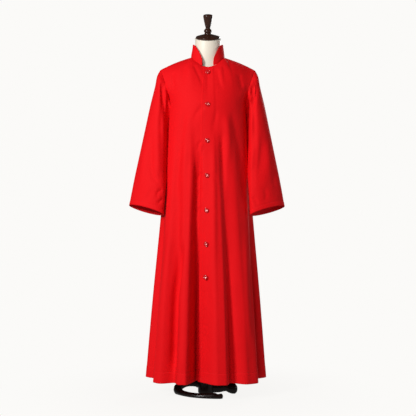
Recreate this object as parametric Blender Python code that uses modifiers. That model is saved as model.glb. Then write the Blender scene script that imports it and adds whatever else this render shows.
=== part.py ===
"""A cassock on a limbless dress form, which stands on a turned hub with three carved legs.

Metres, +Z up. The origin is on the floor, under the middle of the stand's pole. The garment faces -Y, so
its left front is at +X. Cloth walls grow outwards from the surfaces worked out here.
"""

from collections import namedtuple
from math import cos, degrees, pi, radians, sin, sqrt, tan

import bmesh
import bpy
from mathutils import Matrix, Vector

# Cloth
WALL = 0.0012
SEAM_GAP = 0.0003
HEM_Z = 0.070
CHEST_Z = 1.238
SQUARENESS = 2.2
SIDE_SEAM_DEG = 90.0
SIDE_SEAM_GAP_DEG = 0.06
SHOULDER_SEAM_LEVEL = 0.0008

# Neckline and shoulders
NECK_HALF_WIDTH = 0.0705
NECK_DEPTH = 0.066
NECK_SIDE_Z = 1.441
NECK_FRONT_Z = 1.391
NECK_BACK_Z = 1.452
NECK_POINT_DEG = 45.0
SHOULDER_TIP_X = 0.203
SHOULDER_TIP_Z = 1.387

# Front closing: the left front laps over the right front
LAP_DEG = 7.0
LAP_COLUMNS = 4
LAP_LIFT = WALL + 2 * SEAM_GAP
LAP_END_DEG = 11.0
LAP_FOLD_SHARE = 0.82
PLAIN_STEPS = 20
BACK_STEPS = 36

# Collar
COLLAR_HEIGHT = 0.049
COLLAR_FRONT_RISE = 0.008
COLLAR_CORNER = 0.044
COLLAR_OPEN_DEG = 19.5
COLLAR_RADIUS = 0.068
COLLAR_TAPER = 0.11
COLLAR_LEAN = 0.004
COLLAR_CORNER_STEPS = 6
COLLAR_BAND_STEPS = 20
COLLAR_ROWS = 2
COLLAR_LIFT = WALL + 2 * SEAM_GAP

# Buttons
BUTTON_RADIUS = 0.010
BUTTON_THICKNESS = 0.0034
BUTTON_SHANK = 0.0008
BUTTON_SIDES = 20
BUTTON_REACH_DEG = 3.5
BUTTON_HEIGHTS = (1.366, 1.228, 1.076, 0.931, 0.786, 0.647, 0.510)

# Dress form and stand
NECK_TILT = radians(20)
NECK_TOP = Vector((0, -0.004, 1.523))
FORM_SIDES = 24
TURNED_STEPS = 24
POLE_RADIUS = 0.0145
HUB_TOP_Z = 0.150
FORM_BASE_Z = 0.800
TURNED_GAP = 0.0004

# Plan of the body at each height: half width, and depth in front of and behind the pole.
Section = namedtuple("Section", "z half_width front back")
BODY_SECTIONS = (
    Section(1.300, 0.160, 0.124, 0.106),
    Section(1.238, 0.162, 0.128, 0.108),
    Section(1.100, 0.171, 0.132, 0.112),
    Section(0.976, 0.179, 0.140, 0.122),
    Section(0.850, 0.189, 0.150, 0.134),
    Section(0.744, 0.198, 0.158, 0.146),
    Section(0.400, 0.230, 0.182, 0.178),
    Section(0.070, 0.257, 0.200, 0.205),
)

# Lengthwise folds: where the bottom of the trough runs at chest and hem, where it starts, how deep it is
# at the hem, and how far it spreads to either side. A negative depth is a ridge.
Fold = namedtuple("Fold", "name chest_deg hem_deg start_z depth before_deg after_deg")
FOLDS = (
    Fold("beside front edge", -16, -9.6, 1.140, 0.108, 8, 20),
    Fold("left of placket panel", 17.5, 24.5, 1.120, 0.048, 8, 18),
    Fold("right breast", -42, -35, 1.160, 0.038, 20, 11),
    Fold("left breast", 48, 44, 1.160, 0.005, 12, 12),
    Fold("right side", -74, -70, 0.960, 0.050, 14, 14),
    Fold("left side", 74, 71, 0.960, 0.052, 16, 14),
    Fold("right side back", -112, -114, 1.050, 0.045, 15, 15),
    Fold("left side back", 112, 116, 1.050, 0.045, 15, 15),
    Fold("right back", -140, -138, 1.120, 0.060, 13, 15),
    Fold("left back", 138, 141, 1.120, 0.058, 15, 13),
    Fold("right of back middle", -163, -164, 1.080, 0.066, 13, 13),
    Fold("left of back middle", 165, 163, 1.080, 0.060, 14, 12),
)

# How high the hem hangs at each angle from the front middle, the same on both sides.
HemPoint = namedtuple("HemPoint", "turn_deg z")
HEM_LINE = (
    HemPoint(0, 0.0705),
    HemPoint(25, 0.0690),
    HemPoint(50, 0.0655),
    HemPoint(70, 0.0690),
    HemPoint(90, 0.0755),
    HemPoint(135, 0.0710),
    HemPoint(180, 0.0680),
)

# Levels run from 0 at the neck and shoulder seam, through 1 at the chest, to 2 at the hem.
YOKE_LEVELS = (SHOULDER_SEAM_LEVEL, 0.14, 0.32, 0.55, 0.78, 1.0)
SKIRT_LEVELS = (1.10, 1.20, 1.31, 1.44, 1.59, 1.74, 1.88, 2.0)

# Where the cloth is pulled to between the top line and the chest, at 0, 45 and 90 degrees.
FRONT_PULL = (Vector((0, -0.103, 1.325)), Vector((0.108, -0.096, 1.400)), Vector((0.170, -0.085, 1.300)))
BACK_PULL = (Vector((0, 0.098, 1.380)), Vector((0.106, 0.092, 1.410)), Vector((0.174, 0.085, 1.305)))

# Sleeve rings, from just outside the armhole to the cuff: the outer and the inner edge of the flattened
# tube, its depth in front of and behind the line between them, and how far its front is raised.
SleeveRing = namedtuple("SleeveRing", "outer inner front back raised")
SLEEVE_RINGS = (
    SleeveRing(Vector((0.2150, -0.001, 1.363)), Vector((0.1670, -0.012, 1.227)), 0.047, 0.047, 0.000),
    SleeveRing(Vector((0.2240, -0.002, 1.318)), Vector((0.1668, -0.024, 1.202)), 0.050, 0.050, 0.001),
    SleeveRing(Vector((0.2440, -0.006, 1.234)), Vector((0.1695, -0.034, 1.140)), 0.050, 0.048, 0.002),
    SleeveRing(Vector((0.2655, -0.010, 1.131)), Vector((0.1715, -0.046, 1.050)), 0.047, 0.045, 0.004),
    SleeveRing(Vector((0.2870, -0.014, 1.028)), Vector((0.1730, -0.062, 0.955)), 0.044, 0.042, 0.006),
    SleeveRing(Vector((0.3105, -0.018, 0.915)), Vector((0.1765, -0.080, 0.862)), 0.042, 0.040, 0.009),
    SleeveRing(Vector((0.3310, -0.022, 0.804)), Vector((0.1830, -0.084, 0.766)), 0.041, 0.038, 0.012),
)
SLEEVE_COLUMNS = 22

# Sleeve folds: where the trough runs round the tube (0 outer edge, 90 front, 180 inner edge) at the top
# and at the cuff, its depth at the top and at the cuff, and its spread.
SleeveFold = namedtuple("SleeveFold", "top_deg cuff_deg top_depth cuff_depth spread_deg")
SLEEVE_FOLDS = (
    SleeveFold(72, 150, 0.013, 0.000, 26),
    SleeveFold(118, 176, 0.009, 0.000, 22),
    SleeveFold(265, 205, 0.011, 0.002, 28),
)

# Dress form, from the base of the hips to the neck.
FORM_SECTIONS = (
    Section(0.800, 0.146, 0.098, 0.098),
    Section(0.812, 0.154, 0.103, 0.104),
    Section(0.870, 0.160, 0.106, 0.108),
    Section(0.950, 0.148, 0.100, 0.099),
    Section(1.040, 0.126, 0.092, 0.080),
    Section(1.120, 0.135, 0.103, 0.084),
    Section(1.200, 0.148, 0.112, 0.090),
    Section(1.270, 0.153, 0.098, 0.088),
    Section(1.320, 0.160, 0.078, 0.078),
    Section(1.352, 0.162, 0.060, 0.066),
    Section(1.374, 0.140, 0.050, 0.058),
    Section(1.392, 0.104, 0.046, 0.053),
    Section(1.408, 0.076, 0.046, 0.050),
    Section(1.425, 0.061, 0.048, 0.049),
    Section(1.455, 0.0560, 0.053, 0.049),
    Section(1.488, 0.0545, 0.057, 0.048),
)
NECK_TOP_RADIUS = 0.0540

# Turned pieces as (radius, height) profiles, top to bottom.
CAP_PROFILE = (
    (0.0000, 0.0180), (0.0160, 0.0180), (0.0210, 0.0165), (0.0380, 0.0125), (0.0490, 0.0080),
    (0.0525, 0.0045), (0.0520, 0.0015), (0.0500, 0.0000), (0.0000, 0.0000),
)
FINIAL_PROFILE = (
    (0.0000, 0.0850), (0.0100, 0.0842), (0.0175, 0.0815), (0.0205, 0.0775), (0.0203, 0.0735),
    (0.0170, 0.0560), (0.0130, 0.0380), (0.0098, 0.0275), (0.0098, 0.0255), (0.0132, 0.0215),
    (0.0163, 0.0150), (0.0163, 0.0110), (0.0140, 0.0055), (0.0150, 0.0025), (0.0150, 0.0000),
    (0.0000, 0.0000),
)
HUB_PROFILE = (
    (0.0000, 0.1500), (0.0190, 0.1500), (0.0205, 0.1440), (0.0180, 0.1340), (0.0200, 0.1080),
    (0.0260, 0.0860), (0.0265, 0.0700), (0.0310, 0.0600), (0.0340, 0.0520), (0.0340, 0.0080),
    (0.0320, 0.0000), (0.0000, 0.0000),
)

# Carved legs: stations along the middle line, with half width and half height. Feet rest at z = 0.
Station = namedtuple("Station", "x y z half_width half_height")
SCROLL_LEG = (
    Station(-0.0350, 0.000, 0.0420, 0.0150, 0.0160),
    Station(-0.0600, 0.002, 0.0440, 0.0140, 0.0150),
    Station(-0.0850, 0.002, 0.0420, 0.0140, 0.0160),
    Station(-0.1080, -0.003, 0.0330, 0.0150, 0.0200),
    Station(-0.1220, -0.016, 0.0200, 0.0165, 0.0200),
    Station(-0.1080, -0.043, 0.0120, 0.0165, 0.0120),
    Station(-0.0840, -0.070, 0.0100, 0.0160, 0.0100),
    Station(-0.0540, -0.093, 0.0092, 0.0155, 0.0092),
    Station(-0.0150, -0.109, 0.0098, 0.0150, 0.0098),
    Station(0.0150, -0.115, 0.0110, 0.0150, 0.0110),
    Station(0.0380, -0.118, 0.0115, 0.0145, 0.0115),
    Station(0.0530, -0.119, 0.0090, 0.0135, 0.0090),
    Station(0.0640, -0.118, 0.0070, 0.0110, 0.0070),
    Station(0.0710, -0.117, 0.0066, 0.0050, 0.0045),
)
PLAIN_LEG = (
    Station(0.0350, 0.000, 0.0280, 0.0150, 0.0250),
    Station(0.0600, 0.000, 0.0275, 0.0140, 0.0225),
    Station(0.0850, 0.000, 0.0290, 0.0140, 0.0190),
    Station(0.0990, 0.000, 0.0240, 0.0165, 0.0200),
    Station(0.1130, 0.000, 0.0215, 0.0190, 0.0215),
    Station(0.1260, 0.000, 0.0200, 0.0165, 0.0195),
    Station(0.1350, 0.000, 0.0190, 0.0080, 0.0100),
)
LEG_SIDES = 12
LEG_SOLE = 0.9
RIGHT_LEG_TURN = radians(-2)
BACK_LEG_TURN = radians(104)
BACK_LEG_REACH = 1.12

# Colours as (red, green, blue), linear, with roughness
RED_CLOTH = ((0.61, 0.008, 0.012), 0.8)
RED_BUTTON = ((0.55, 0.005, 0.008), 0.15)
CREAM_FORM = ((0.76, 0.70, 0.60), 0.5)
DARK_WOOD = ((0.020, 0.007, 0.004), 0.25)
BLACK_WOOD = ((0.008, 0.003, 0.002), 0.2)


def smooth(share):
    """0 to 1 with no slope at either end."""
    share = min(1.0, max(0.0, share))
    return share * share * (3 - 2 * share)


def between(low, high, share):
    return low + (high - low) * share


def curve_through(keys, values, key):
    """A smooth curve through the values, read at key. The keys may rise or fall."""
    if keys[0] > keys[-1]:
        keys, values = keys[::-1], values[::-1]
    key = min(max(key, keys[0]), keys[-1])
    i = max(k for k in range(len(keys) - 1) if keys[k] <= key)
    span = keys[i + 1] - keys[i]
    share = (key - keys[i]) / span

    def slope(k):
        a, b = max(k - 1, 0), min(k + 1, len(keys) - 1)
        return (values[b] - values[a]) / (keys[b] - keys[a]) * span

    s2, s3 = share * share, share ** 3
    return (
        values[i] * (2 * s3 - 3 * s2 + 1)
        + values[i + 1] * (3 * s2 - 2 * s3)
        + slope(i) * (s3 - 2 * s2 + share)
        + slope(i + 1) * (s3 - s2)
    )


def section_at(sections, z):
    """The section at height z, as a smooth curve through the table's rows."""
    heights = [s.z for s in sections]
    sizes = [curve_through(heights, [s[k] for s in sections], z) for k in (1, 2, 3)]
    return Section(z, *sizes)


def plan_point(section, angle, squareness):
    """A point on a section's outline. 0 degrees is the front middle, 90 the garment's left side."""
    across, along = sin(radians(angle)), cos(radians(angle))
    power = 2 / squareness
    depth = section.front if along > 0 else section.back
    x = section.half_width * abs(across) ** power * (1 if across > 0 else -1)
    y = -depth * abs(along) ** power * (1 if along > 0 else -1)
    return Vector((x, y, section.z))


def height_of(level, angle):
    """The height at a level between chest and hem."""
    hem = curve_through([p.turn_deg for p in HEM_LINE], [p.z for p in HEM_LINE], abs(angle))
    return between(CHEST_Z, hem, level - 1)


def top_point(angle):
    """The neckline, and past the neck point the shoulder seam."""
    side = 1 if angle > 0 else -1
    turn = abs(angle)
    behind = turn > SIDE_SEAM_DEG
    turn = 180 - turn if behind else turn
    if turn <= NECK_POINT_DEG:
        round_neck = radians(turn / NECK_POINT_DEG * 90)
        end_z = NECK_BACK_Z if behind else NECK_FRONT_Z
        y = NECK_DEPTH * cos(round_neck) * (1 if behind else -1)
        z = between(NECK_SIDE_Z, end_z, cos(round_neck) ** 2)
        return Vector((side * NECK_HALF_WIDTH * sin(round_neck), y, z))
    share = (turn - NECK_POINT_DEG) / (SIDE_SEAM_DEG - NECK_POINT_DEG)
    z = between(NECK_SIDE_Z, SHOULDER_TIP_Z, share) + 0.004 * sin(pi * share)
    return Vector((side * between(NECK_HALF_WIDTH, SHOULDER_TIP_X, share), 0, z))


def pull_point(angle, in_front):
    """The point that the cloth bends towards between the top line and the chest."""
    side = 1 if angle > 0 else -1
    turn = abs(angle) if in_front else 180 - abs(angle)
    t = turn / 90
    middle, half, end = FRONT_PULL if in_front else BACK_PULL
    p = middle * (1 - t) * (1 - 2 * t) + half * 4 * t * (1 - t) + end * t * (2 * t - 1)
    return Vector((p.x * side, p.y, p.z))


def fold_depth(angle, z, edge_share):
    """How far the folds push the cloth in, at an angle round the body and a height. The fold beside the
    front edge has only this share of its depth."""
    total = 0.0
    rise = min(1.0, (z - HEM_Z) / (CHEST_Z - HEM_Z))
    for fold in FOLDS:
        grown = smooth((fold.start_z - z) / (fold.start_z - HEM_Z)) * 0.35
        grown += max(0.0, (fold.start_z - z) / (fold.start_z - HEM_Z)) * 0.65
        trough = between(fold.hem_deg, fold.chest_deg, rise * rise)
        away = (angle - trough + 180) % 360 - 180
        spread = fold.before_deg if away < 0 else fold.after_deg
        depth = fold.depth * (edge_share if fold is FOLDS[0] else 1.0)
        if abs(away) < spread:
            total += depth * grown * cos(pi / 2 * away / spread) ** 2
    return total


def body_point(angle, level, in_front, edge_share=1.0):
    """A point on the inside of the body cloth, folds included."""
    z = height_of(level, angle) if level > 1 else CHEST_Z
    section = section_at(BODY_SECTIONS, z)
    point = plan_point(section, angle, SQUARENESS)
    if level < 1:
        top, pull = top_point(angle), pull_point(angle, in_front)
        point = top * (1 - level) ** 2 + pull * 2 * level * (1 - level) + point * level ** 2
    ahead = plan_point(section, angle + 1, SQUARENESS)
    behind = plan_point(section, angle - 1, SQUARENESS)
    along = (ahead - behind).normalized()
    outward = Vector((along.y, -along.x, 0))
    return point - outward * fold_depth(angle, point.z, edge_share)


def outward_of(surface, across, down, step=(0.5, 0.01)):
    """The unit normal of a surface(across, down), pointing out of the garment."""
    low, high = max(down - step[1], 0.001), min(down + step[1], 2.0)
    along = surface(across + step[0], down) - surface(across - step[0], down)
    fall = surface(across, high) - surface(across, low)
    return fall.cross(along).normalized()


def front_surface(angle, level):
    return body_point(angle, level, True)


def back_surface(angle, level):
    return body_point(angle, level, False)


def left_surface(angle, level):
    return body_point(angle, level, True, LAP_FOLD_SHARE)


def lapped_surface(angle, level):
    """The left front: lifted off the right front where it laps over it, and drawn in less by the fold."""
    eased = 1 - smooth((angle - LAP_DEG) / (LAP_END_DEG - LAP_DEG))
    point = left_surface(angle, level)
    return point + outward_of(left_surface, angle, level) * LAP_LIFT * eased


def material(name, finish):
    colour, roughness = finish
    made = bpy.data.materials.new(name)
    made.use_nodes = True
    shader = made.node_tree.nodes["Principled BSDF"]
    shader.inputs["Base Color"].default_value = (*colour, 1)
    shader.inputs["Roughness"].default_value = roughness
    shader.inputs["Metallic"].default_value = 0
    made.diffuse_color = (*colour, 1)
    return made


def add_object(name, mesh, finish):
    made = bpy.data.objects.new(name, mesh)
    made.data.materials.append(finish)
    ASSEMBLY.objects.link(made)
    return made


def loft(name, rows, finish, ring=False, capped=False):
    """An object skinned over rows of points. A ring closes each row on itself; caps close the two ends."""
    mesh = bpy.data.meshes.new(name)
    width = len(rows[0])
    faces = []
    for r in range(len(rows) - 1):
        for c in range(width if ring else width - 1):
            right = (c + 1) % width
            faces.append((r * width + c, (r + 1) * width + c, (r + 1) * width + right, r * width + right))
    if capped:
        last = (len(rows) - 1) * width
        faces.append(tuple(range(width)))
        faces.append(tuple(reversed(range(last, last + width))))
    mesh.from_pydata([p for row in rows for p in row], [], faces)
    mesh.shade_smooth()
    return add_object(name, mesh, finish)


def make_cloth(obj):
    """Gives an open surface its wall, outwards."""
    wall = obj.modifiers.new("wall", "SOLIDIFY")
    wall.thickness = WALL
    wall.offset = 1
    wall.use_even_offset = False
    return obj


def body_panel(name, surface, angles, finish):
    rows = [[surface(angle, level) for angle in angles] for level in YOKE_LEVELS + SKIRT_LEVELS]
    return make_cloth(loft(name, rows, finish))


def front_angles():
    """Column angles of the left front, from its lapping edge to the side seam."""
    lap = [between(-LAP_DEG, LAP_DEG, k / LAP_COLUMNS) for k in range(LAP_COLUMNS)]
    side = SIDE_SEAM_DEG - SIDE_SEAM_GAP_DEG
    return lap + [between(LAP_DEG, side, k / PLAIN_STEPS) for k in range(PLAIN_STEPS + 1)]


def make_body(finish):
    angles = front_angles()
    body_panel("front_left", lapped_surface, angles, finish)
    body_panel("front_right", front_surface, [-angle for angle in reversed(angles)], finish)
    first, last = SIDE_SEAM_DEG + SIDE_SEAM_GAP_DEG, 360 - SIDE_SEAM_DEG - SIDE_SEAM_GAP_DEG
    around = [between(first, last, k / BACK_STEPS) for k in range(BACK_STEPS + 1)]
    around = [angle if angle <= 180 else angle - 360 for angle in around]
    body_panel("back", back_surface, around, finish)


def collar_height(turn):
    """The height of the collar: it rises towards the front, where its corners are rounded off."""
    from_front = min(turn, 360 - turn)
    height = COLLAR_HEIGHT + COLLAR_FRONT_RISE * smooth((100 - from_front) / 40)
    reach = COLLAR_RADIUS * radians(from_front - COLLAR_OPEN_DEG)
    if reach < COLLAR_CORNER:
        height += sqrt(COLLAR_CORNER ** 2 - (COLLAR_CORNER - reach) ** 2) - COLLAR_CORNER
    return height


def collar_point(turn, height):
    """A point of the collar: turn in degrees from the front middle, height above the neckline."""
    flat = (turn + 180) % 360 - 180
    side = 1 if flat > 0 else -1
    angle = side * (abs(flat) / 2 if abs(flat) <= 90 else 90 + abs(flat) / 2)
    base = top_point(angle)
    share = height / COLLAR_HEIGHT
    x = base.x * (1 - COLLAR_TAPER * share)
    y = base.y * (1 - COLLAR_TAPER * share) - COLLAR_LEAN * share
    return Vector((x, y, base.z + COLLAR_LIFT + height))


def make_collar(finish):
    """A standing band, open at the front, with its two front corners rounded off."""
    corner = degrees(COLLAR_CORNER / COLLAR_RADIUS)
    turns = []
    for k in range(COLLAR_CORNER_STEPS):
        bend = pi / 2 * k / COLLAR_CORNER_STEPS
        turns.append(COLLAR_OPEN_DEG + corner * (1 - cos(bend)))
    first = COLLAR_OPEN_DEG + corner
    turns += [between(first, 360 - first, k / COLLAR_BAND_STEPS) for k in range(COLLAR_BAND_STEPS + 1)]
    turns += [360 - turn for turn in reversed(turns[:COLLAR_CORNER_STEPS])]
    rows = [
        [collar_point(turn, collar_height(turn) * (1 - k / COLLAR_ROWS)) for turn in turns]
        for k in range(COLLAR_ROWS + 1)
    ]
    make_cloth(loft("collar", rows, finish))


def sleeve_fold(turn, share):
    total = 0.0
    for fold in SLEEVE_FOLDS:
        away = (turn - between(fold.top_deg, fold.cuff_deg, share) + 180) % 360 - 180
        if abs(away) < fold.spread_deg:
            depth = between(fold.top_depth, fold.cuff_depth, share)
            total += depth * cos(pi / 2 * away / fold.spread_deg) ** 2
    return total


def armhole_point(turn):
    """The edge of the armhole. 0 degrees is the shoulder tip, 90 the front, 180 the underarm."""
    in_front = turn <= 180
    level = turn / 180 if in_front else (360 - turn) / 180
    below = (1 - cos(radians(turn))) / 2
    clear = between(SEAM_GAP, 2 * (WALL + SEAM_GAP), below)
    return body_point(SIDE_SEAM_DEG, max(level, 0.001), in_front) + Vector((clear, 0, 0))


def ring_point(ring, turn, share):
    middle, half = (ring.outer + ring.inner) / 2, (ring.outer - ring.inner) / 2
    ahead = sin(radians(turn))
    depth = ring.front if ahead > 0 else ring.back
    out = half * cos(radians(turn)) - Vector((0, depth * ahead, 0))
    out *= 1 - sleeve_fold(turn, share) / max(out.length, 0.02)
    return middle + out + Vector((0, 0, ring.raised * ahead))


def make_sleeve(name, side, finish):
    turns = [360 * k / SLEEVE_COLUMNS for k in range(SLEEVE_COLUMNS)]
    rows = [[armhole_point(turn) for turn in turns]]
    for k, ring in enumerate(SLEEVE_RINGS):
        rows.append([ring_point(ring, turn, (k + 1) / len(SLEEVE_RINGS)) for turn in turns])
    rows = [[Vector((side * p.x, p.y, p.z)) for p in row] for row in rows]
    if side > 0:
        rows = [row[::-1] for row in rows]
    make_cloth(loft(name, rows, finish, ring=True))


def make_buttons(finish):
    """Buttons down the front middle, each just clear of the cloth all round its underside."""
    for number, z in enumerate(BUTTON_HEIGHTS, 1):
        level = button_level(z)
        middle = lapped_surface(0, level)
        normal = (outward_of(lapped_surface, 0, level) + Vector((0, -1, 0))).normalized()
        around = [
            lapped_surface(across, button_level(z + BUTTON_RADIUS * down))
            for across in (-BUTTON_REACH_DEG, 0, BUTTON_REACH_DEG)
            for down in (-1, 0, 1)
        ]
        highest = max((point - middle).dot(normal) for point in around)
        mesh = bpy.data.meshes.new(f"button_{number}")
        shape = bmesh.new()
        bmesh.ops.create_cone(
            shape, cap_ends=True, segments=BUTTON_SIDES,
            radius1=BUTTON_RADIUS, radius2=BUTTON_RADIUS * 0.8, depth=BUTTON_THICKNESS,
        )
        shape.to_mesh(mesh)
        shape.free()
        made = add_object(f"button_{number}", mesh, finish)
        made.location = middle + normal * (highest + WALL + BUTTON_SHANK + BUTTON_THICKNESS / 2)
        made.rotation_euler = normal.to_track_quat("Z", "Y").to_euler()


def button_level(z):
    """The level down the front middle at which the cloth is at height z."""
    low, high = 0.0, 2.0
    for _ in range(40):
        middle = (low + high) / 2
        if front_surface(0, middle).z > z:
            low = middle
        else:
            high = middle
    return (low + high) / 2


def make_form(finish):
    """The limbless form: hips, waist, chest, sloping shoulders and a neck cut at a slant."""
    turns = [360 * k / FORM_SIDES for k in range(FORM_SIDES)]
    rows = [[plan_point(section, turn, 2) for turn in turns] for section in FORM_SECTIONS]
    slant = tan(NECK_TILT)
    top = []
    for turn in turns:
        x, y = NECK_TOP_RADIUS * sin(radians(turn)), -NECK_TOP_RADIUS * cos(radians(turn))
        top.append(NECK_TOP + Vector((x, y, y * slant)))
    rows.append(top)
    loft("form_torso", rows[::-1], finish, ring=True, capped=True)


def turned(name, profile, finish):
    """A turned piece: a profile spun about Z by a Screw modifier."""
    mesh = bpy.data.meshes.new(name)
    edges = [(k, k + 1) for k in range(len(profile) - 1)]
    mesh.from_pydata([(radius, 0, height) for radius, height in profile], edges, [])
    made = add_object(name, mesh, finish)
    spin = made.modifiers.new("spin", "SCREW")
    spin.steps = spin.render_steps = TURNED_STEPS
    spin.use_merge_vertices = True
    spin.merge_threshold = 0.0001
    spin.use_smooth_shade = True
    return made


def make_neck_cap(finish):
    """The wooden cap and its finial, square to the slanted top of the neck."""
    slanted = Matrix.Translation(NECK_TOP) @ Matrix.Rotation(NECK_TILT, 4, "X")
    cap = turned("neck_cap", CAP_PROFILE, finish)
    cap.matrix_world = slanted @ Matrix.Translation((0, 0, TURNED_GAP))
    finial = turned("finial", FINIAL_PROFILE, finish)
    finial.matrix_world = slanted @ Matrix.Translation((0, 0, CAP_PROFILE[0][1] + 2 * TURNED_GAP))


def leg(name, stations, finish, turn=0.0, reach=1.0):
    """A carved leg: rounded sections with flat undersides, square to the leg's middle line."""
    rows = []
    for k, station in enumerate(stations):
        before, after = stations[max(k - 1, 0)], stations[min(k + 1, len(stations) - 1)]
        heading = Vector((after.x - before.x, after.y - before.y, 0)).normalized()
        sideways = Vector((-heading.y, heading.x, 0))
        middle = Vector((station.x, station.y, station.z))
        row = []
        for n in range(LEG_SIDES):
            around = 2 * pi * (n + 0.5) / LEG_SIDES
            up = sin(around) if sin(around) > 0 else max(sin(around) / LEG_SOLE, -1)
            row.append(
                middle
                + sideways * station.half_width * cos(around)
                + Vector((0, 0, up * station.half_height))
            )
        rows.append(row)
    made = loft(name, rows[::-1], finish, ring=True, capped=True)
    made.rotation_euler.z = turn
    made.scale = (reach, reach, 1)
    return made


def make_stand(finish):
    turned("stand_hub", HUB_PROFILE, finish)
    pole_length = FORM_BASE_Z - HUB_TOP_Z - 2 * TURNED_GAP
    mesh = bpy.data.meshes.new("stand_pole")
    shape = bmesh.new()
    bmesh.ops.create_cone(
        shape, cap_ends=True, segments=TURNED_STEPS,
        radius1=POLE_RADIUS, radius2=POLE_RADIUS, depth=pole_length,
    )
    shape.to_mesh(mesh)
    shape.free()
    add_object("stand_pole", mesh, finish).location.z = (FORM_BASE_Z + HUB_TOP_Z) / 2
    leg("leg_scroll", SCROLL_LEG, finish)
    leg("leg_right", PLAIN_LEG, finish, RIGHT_LEG_TURN)
    leg("leg_back", PLAIN_LEG, finish, BACK_LEG_TURN, BACK_LEG_REACH)


for old in list(bpy.data.objects):
    bpy.data.objects.remove(old)
ASSEMBLY = bpy.data.collections.new("cassock_on_dress_form")
bpy.context.scene.collection.children.link(ASSEMBLY)

cloth = material("red_cloth", RED_CLOTH)
wood = material("dark_wood", DARK_WOOD)
make_body(cloth)
make_collar(cloth)
make_sleeve("sleeve_left", 1, cloth)
make_sleeve("sleeve_right", -1, cloth)
make_buttons(material("red_button", RED_BUTTON))
make_form(material("cream_form", CREAM_FORM))
make_neck_cap(wood)
make_stand(material("black_wood", BLACK_WOOD))
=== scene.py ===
from collections import namedtuple
from math import cos, pi, radians, sin

import bpy
import numpy as np
from mathutils import Matrix, Vector


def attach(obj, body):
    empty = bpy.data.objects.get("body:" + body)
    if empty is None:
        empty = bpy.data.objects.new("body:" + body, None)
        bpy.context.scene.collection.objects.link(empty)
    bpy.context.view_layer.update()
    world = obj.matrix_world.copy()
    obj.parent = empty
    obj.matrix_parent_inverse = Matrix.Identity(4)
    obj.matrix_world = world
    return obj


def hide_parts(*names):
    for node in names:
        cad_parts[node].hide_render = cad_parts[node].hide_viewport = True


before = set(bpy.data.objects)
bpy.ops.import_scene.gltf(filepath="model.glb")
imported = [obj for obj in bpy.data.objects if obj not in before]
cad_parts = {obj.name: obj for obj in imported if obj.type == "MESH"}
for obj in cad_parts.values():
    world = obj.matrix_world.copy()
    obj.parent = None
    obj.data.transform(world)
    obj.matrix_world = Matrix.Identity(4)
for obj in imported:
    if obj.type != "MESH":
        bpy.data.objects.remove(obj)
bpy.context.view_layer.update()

# ---------------------------------------------------------------------------------------------------------
# Stand hub and pole. The hub is a hardwood block turned on a lathe, bored for the pole and stained nearly
# black under gloss lacquer. The pole is a turned rod of the same wood, glued into the hub and the form.
# ---------------------------------------------------------------------------------------------------------
HUB_PROFILE = (
    (0.0310, 0.0000), (0.0338, 0.0030), (0.0340, 0.0080), (0.0340, 0.0460), (0.0335, 0.0520),
    (0.0312, 0.0560), (0.0306, 0.0600), (0.0285, 0.0650), (0.0265, 0.0700), (0.0255, 0.0760),
    (0.0262, 0.0830), (0.0258, 0.0880), (0.0238, 0.0920), (0.0222, 0.0980), (0.0200, 0.1080),
    (0.0188, 0.1200), (0.0181, 0.1340), (0.0190, 0.1390), (0.0204, 0.1440), (0.0200, 0.1480),
    (0.0188, 0.1500), (0.0147, 0.1500),
)
HUB_SIDES = 32
GRAIN_NOISE_SCALE = 10.0
GRAIN_STRETCH = 0.06


def finish_colour(hex_colour):
    """A finish given as an sRGB hex colour, as linear red, green, blue and an alpha of 1."""
    parts = [int(hex_colour[k:k + 2], 16) / 255 for k in (1, 3, 5)]
    return (*[p / 12.92 if p <= 0.04045 else ((p + 0.055) / 1.055) ** 2.4 for p in parts], 1.0)


def add_node(material, kind, settings, inputs):
    """Adds a node. An input takes a value, or another node's output socket as a link."""
    tree = material.node_tree
    node = tree.nodes.new("ShaderNode" + kind)
    for name, value in settings.items():
        setattr(node, name, value)
    for name, value in inputs.items():
        if isinstance(value, bpy.types.NodeSocket):
            tree.links.new(value, node.inputs[name])
        else:
            node.inputs[name].default_value = value
    return node


def blend_colours(material, share, first, second):
    """Two finishes mixed by a node's output, as where wood has streaks or paint has aged."""
    return add_node(material, "Mix", {"data_type": "RGBA"}, {
        0: share, 6: finish_colour(first), 7: finish_colour(second),
    }).outputs[2]


def noise(material, place, **settings):
    """A noise pattern's strength, read at a place."""
    return add_node(material, "TexNoise", {}, {"Vector": place, **settings}).outputs["Fac"]


def new_material(name, shader_values):
    """A material with its Principled shader's constants set, and that shader."""
    material = bpy.data.materials.new(name)
    material.use_nodes = True
    shader = material.node_tree.nodes["Principled BSDF"]
    for socket, value in shader_values.items():
        shader.inputs[socket].default_value = value
    return material, shader


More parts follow.
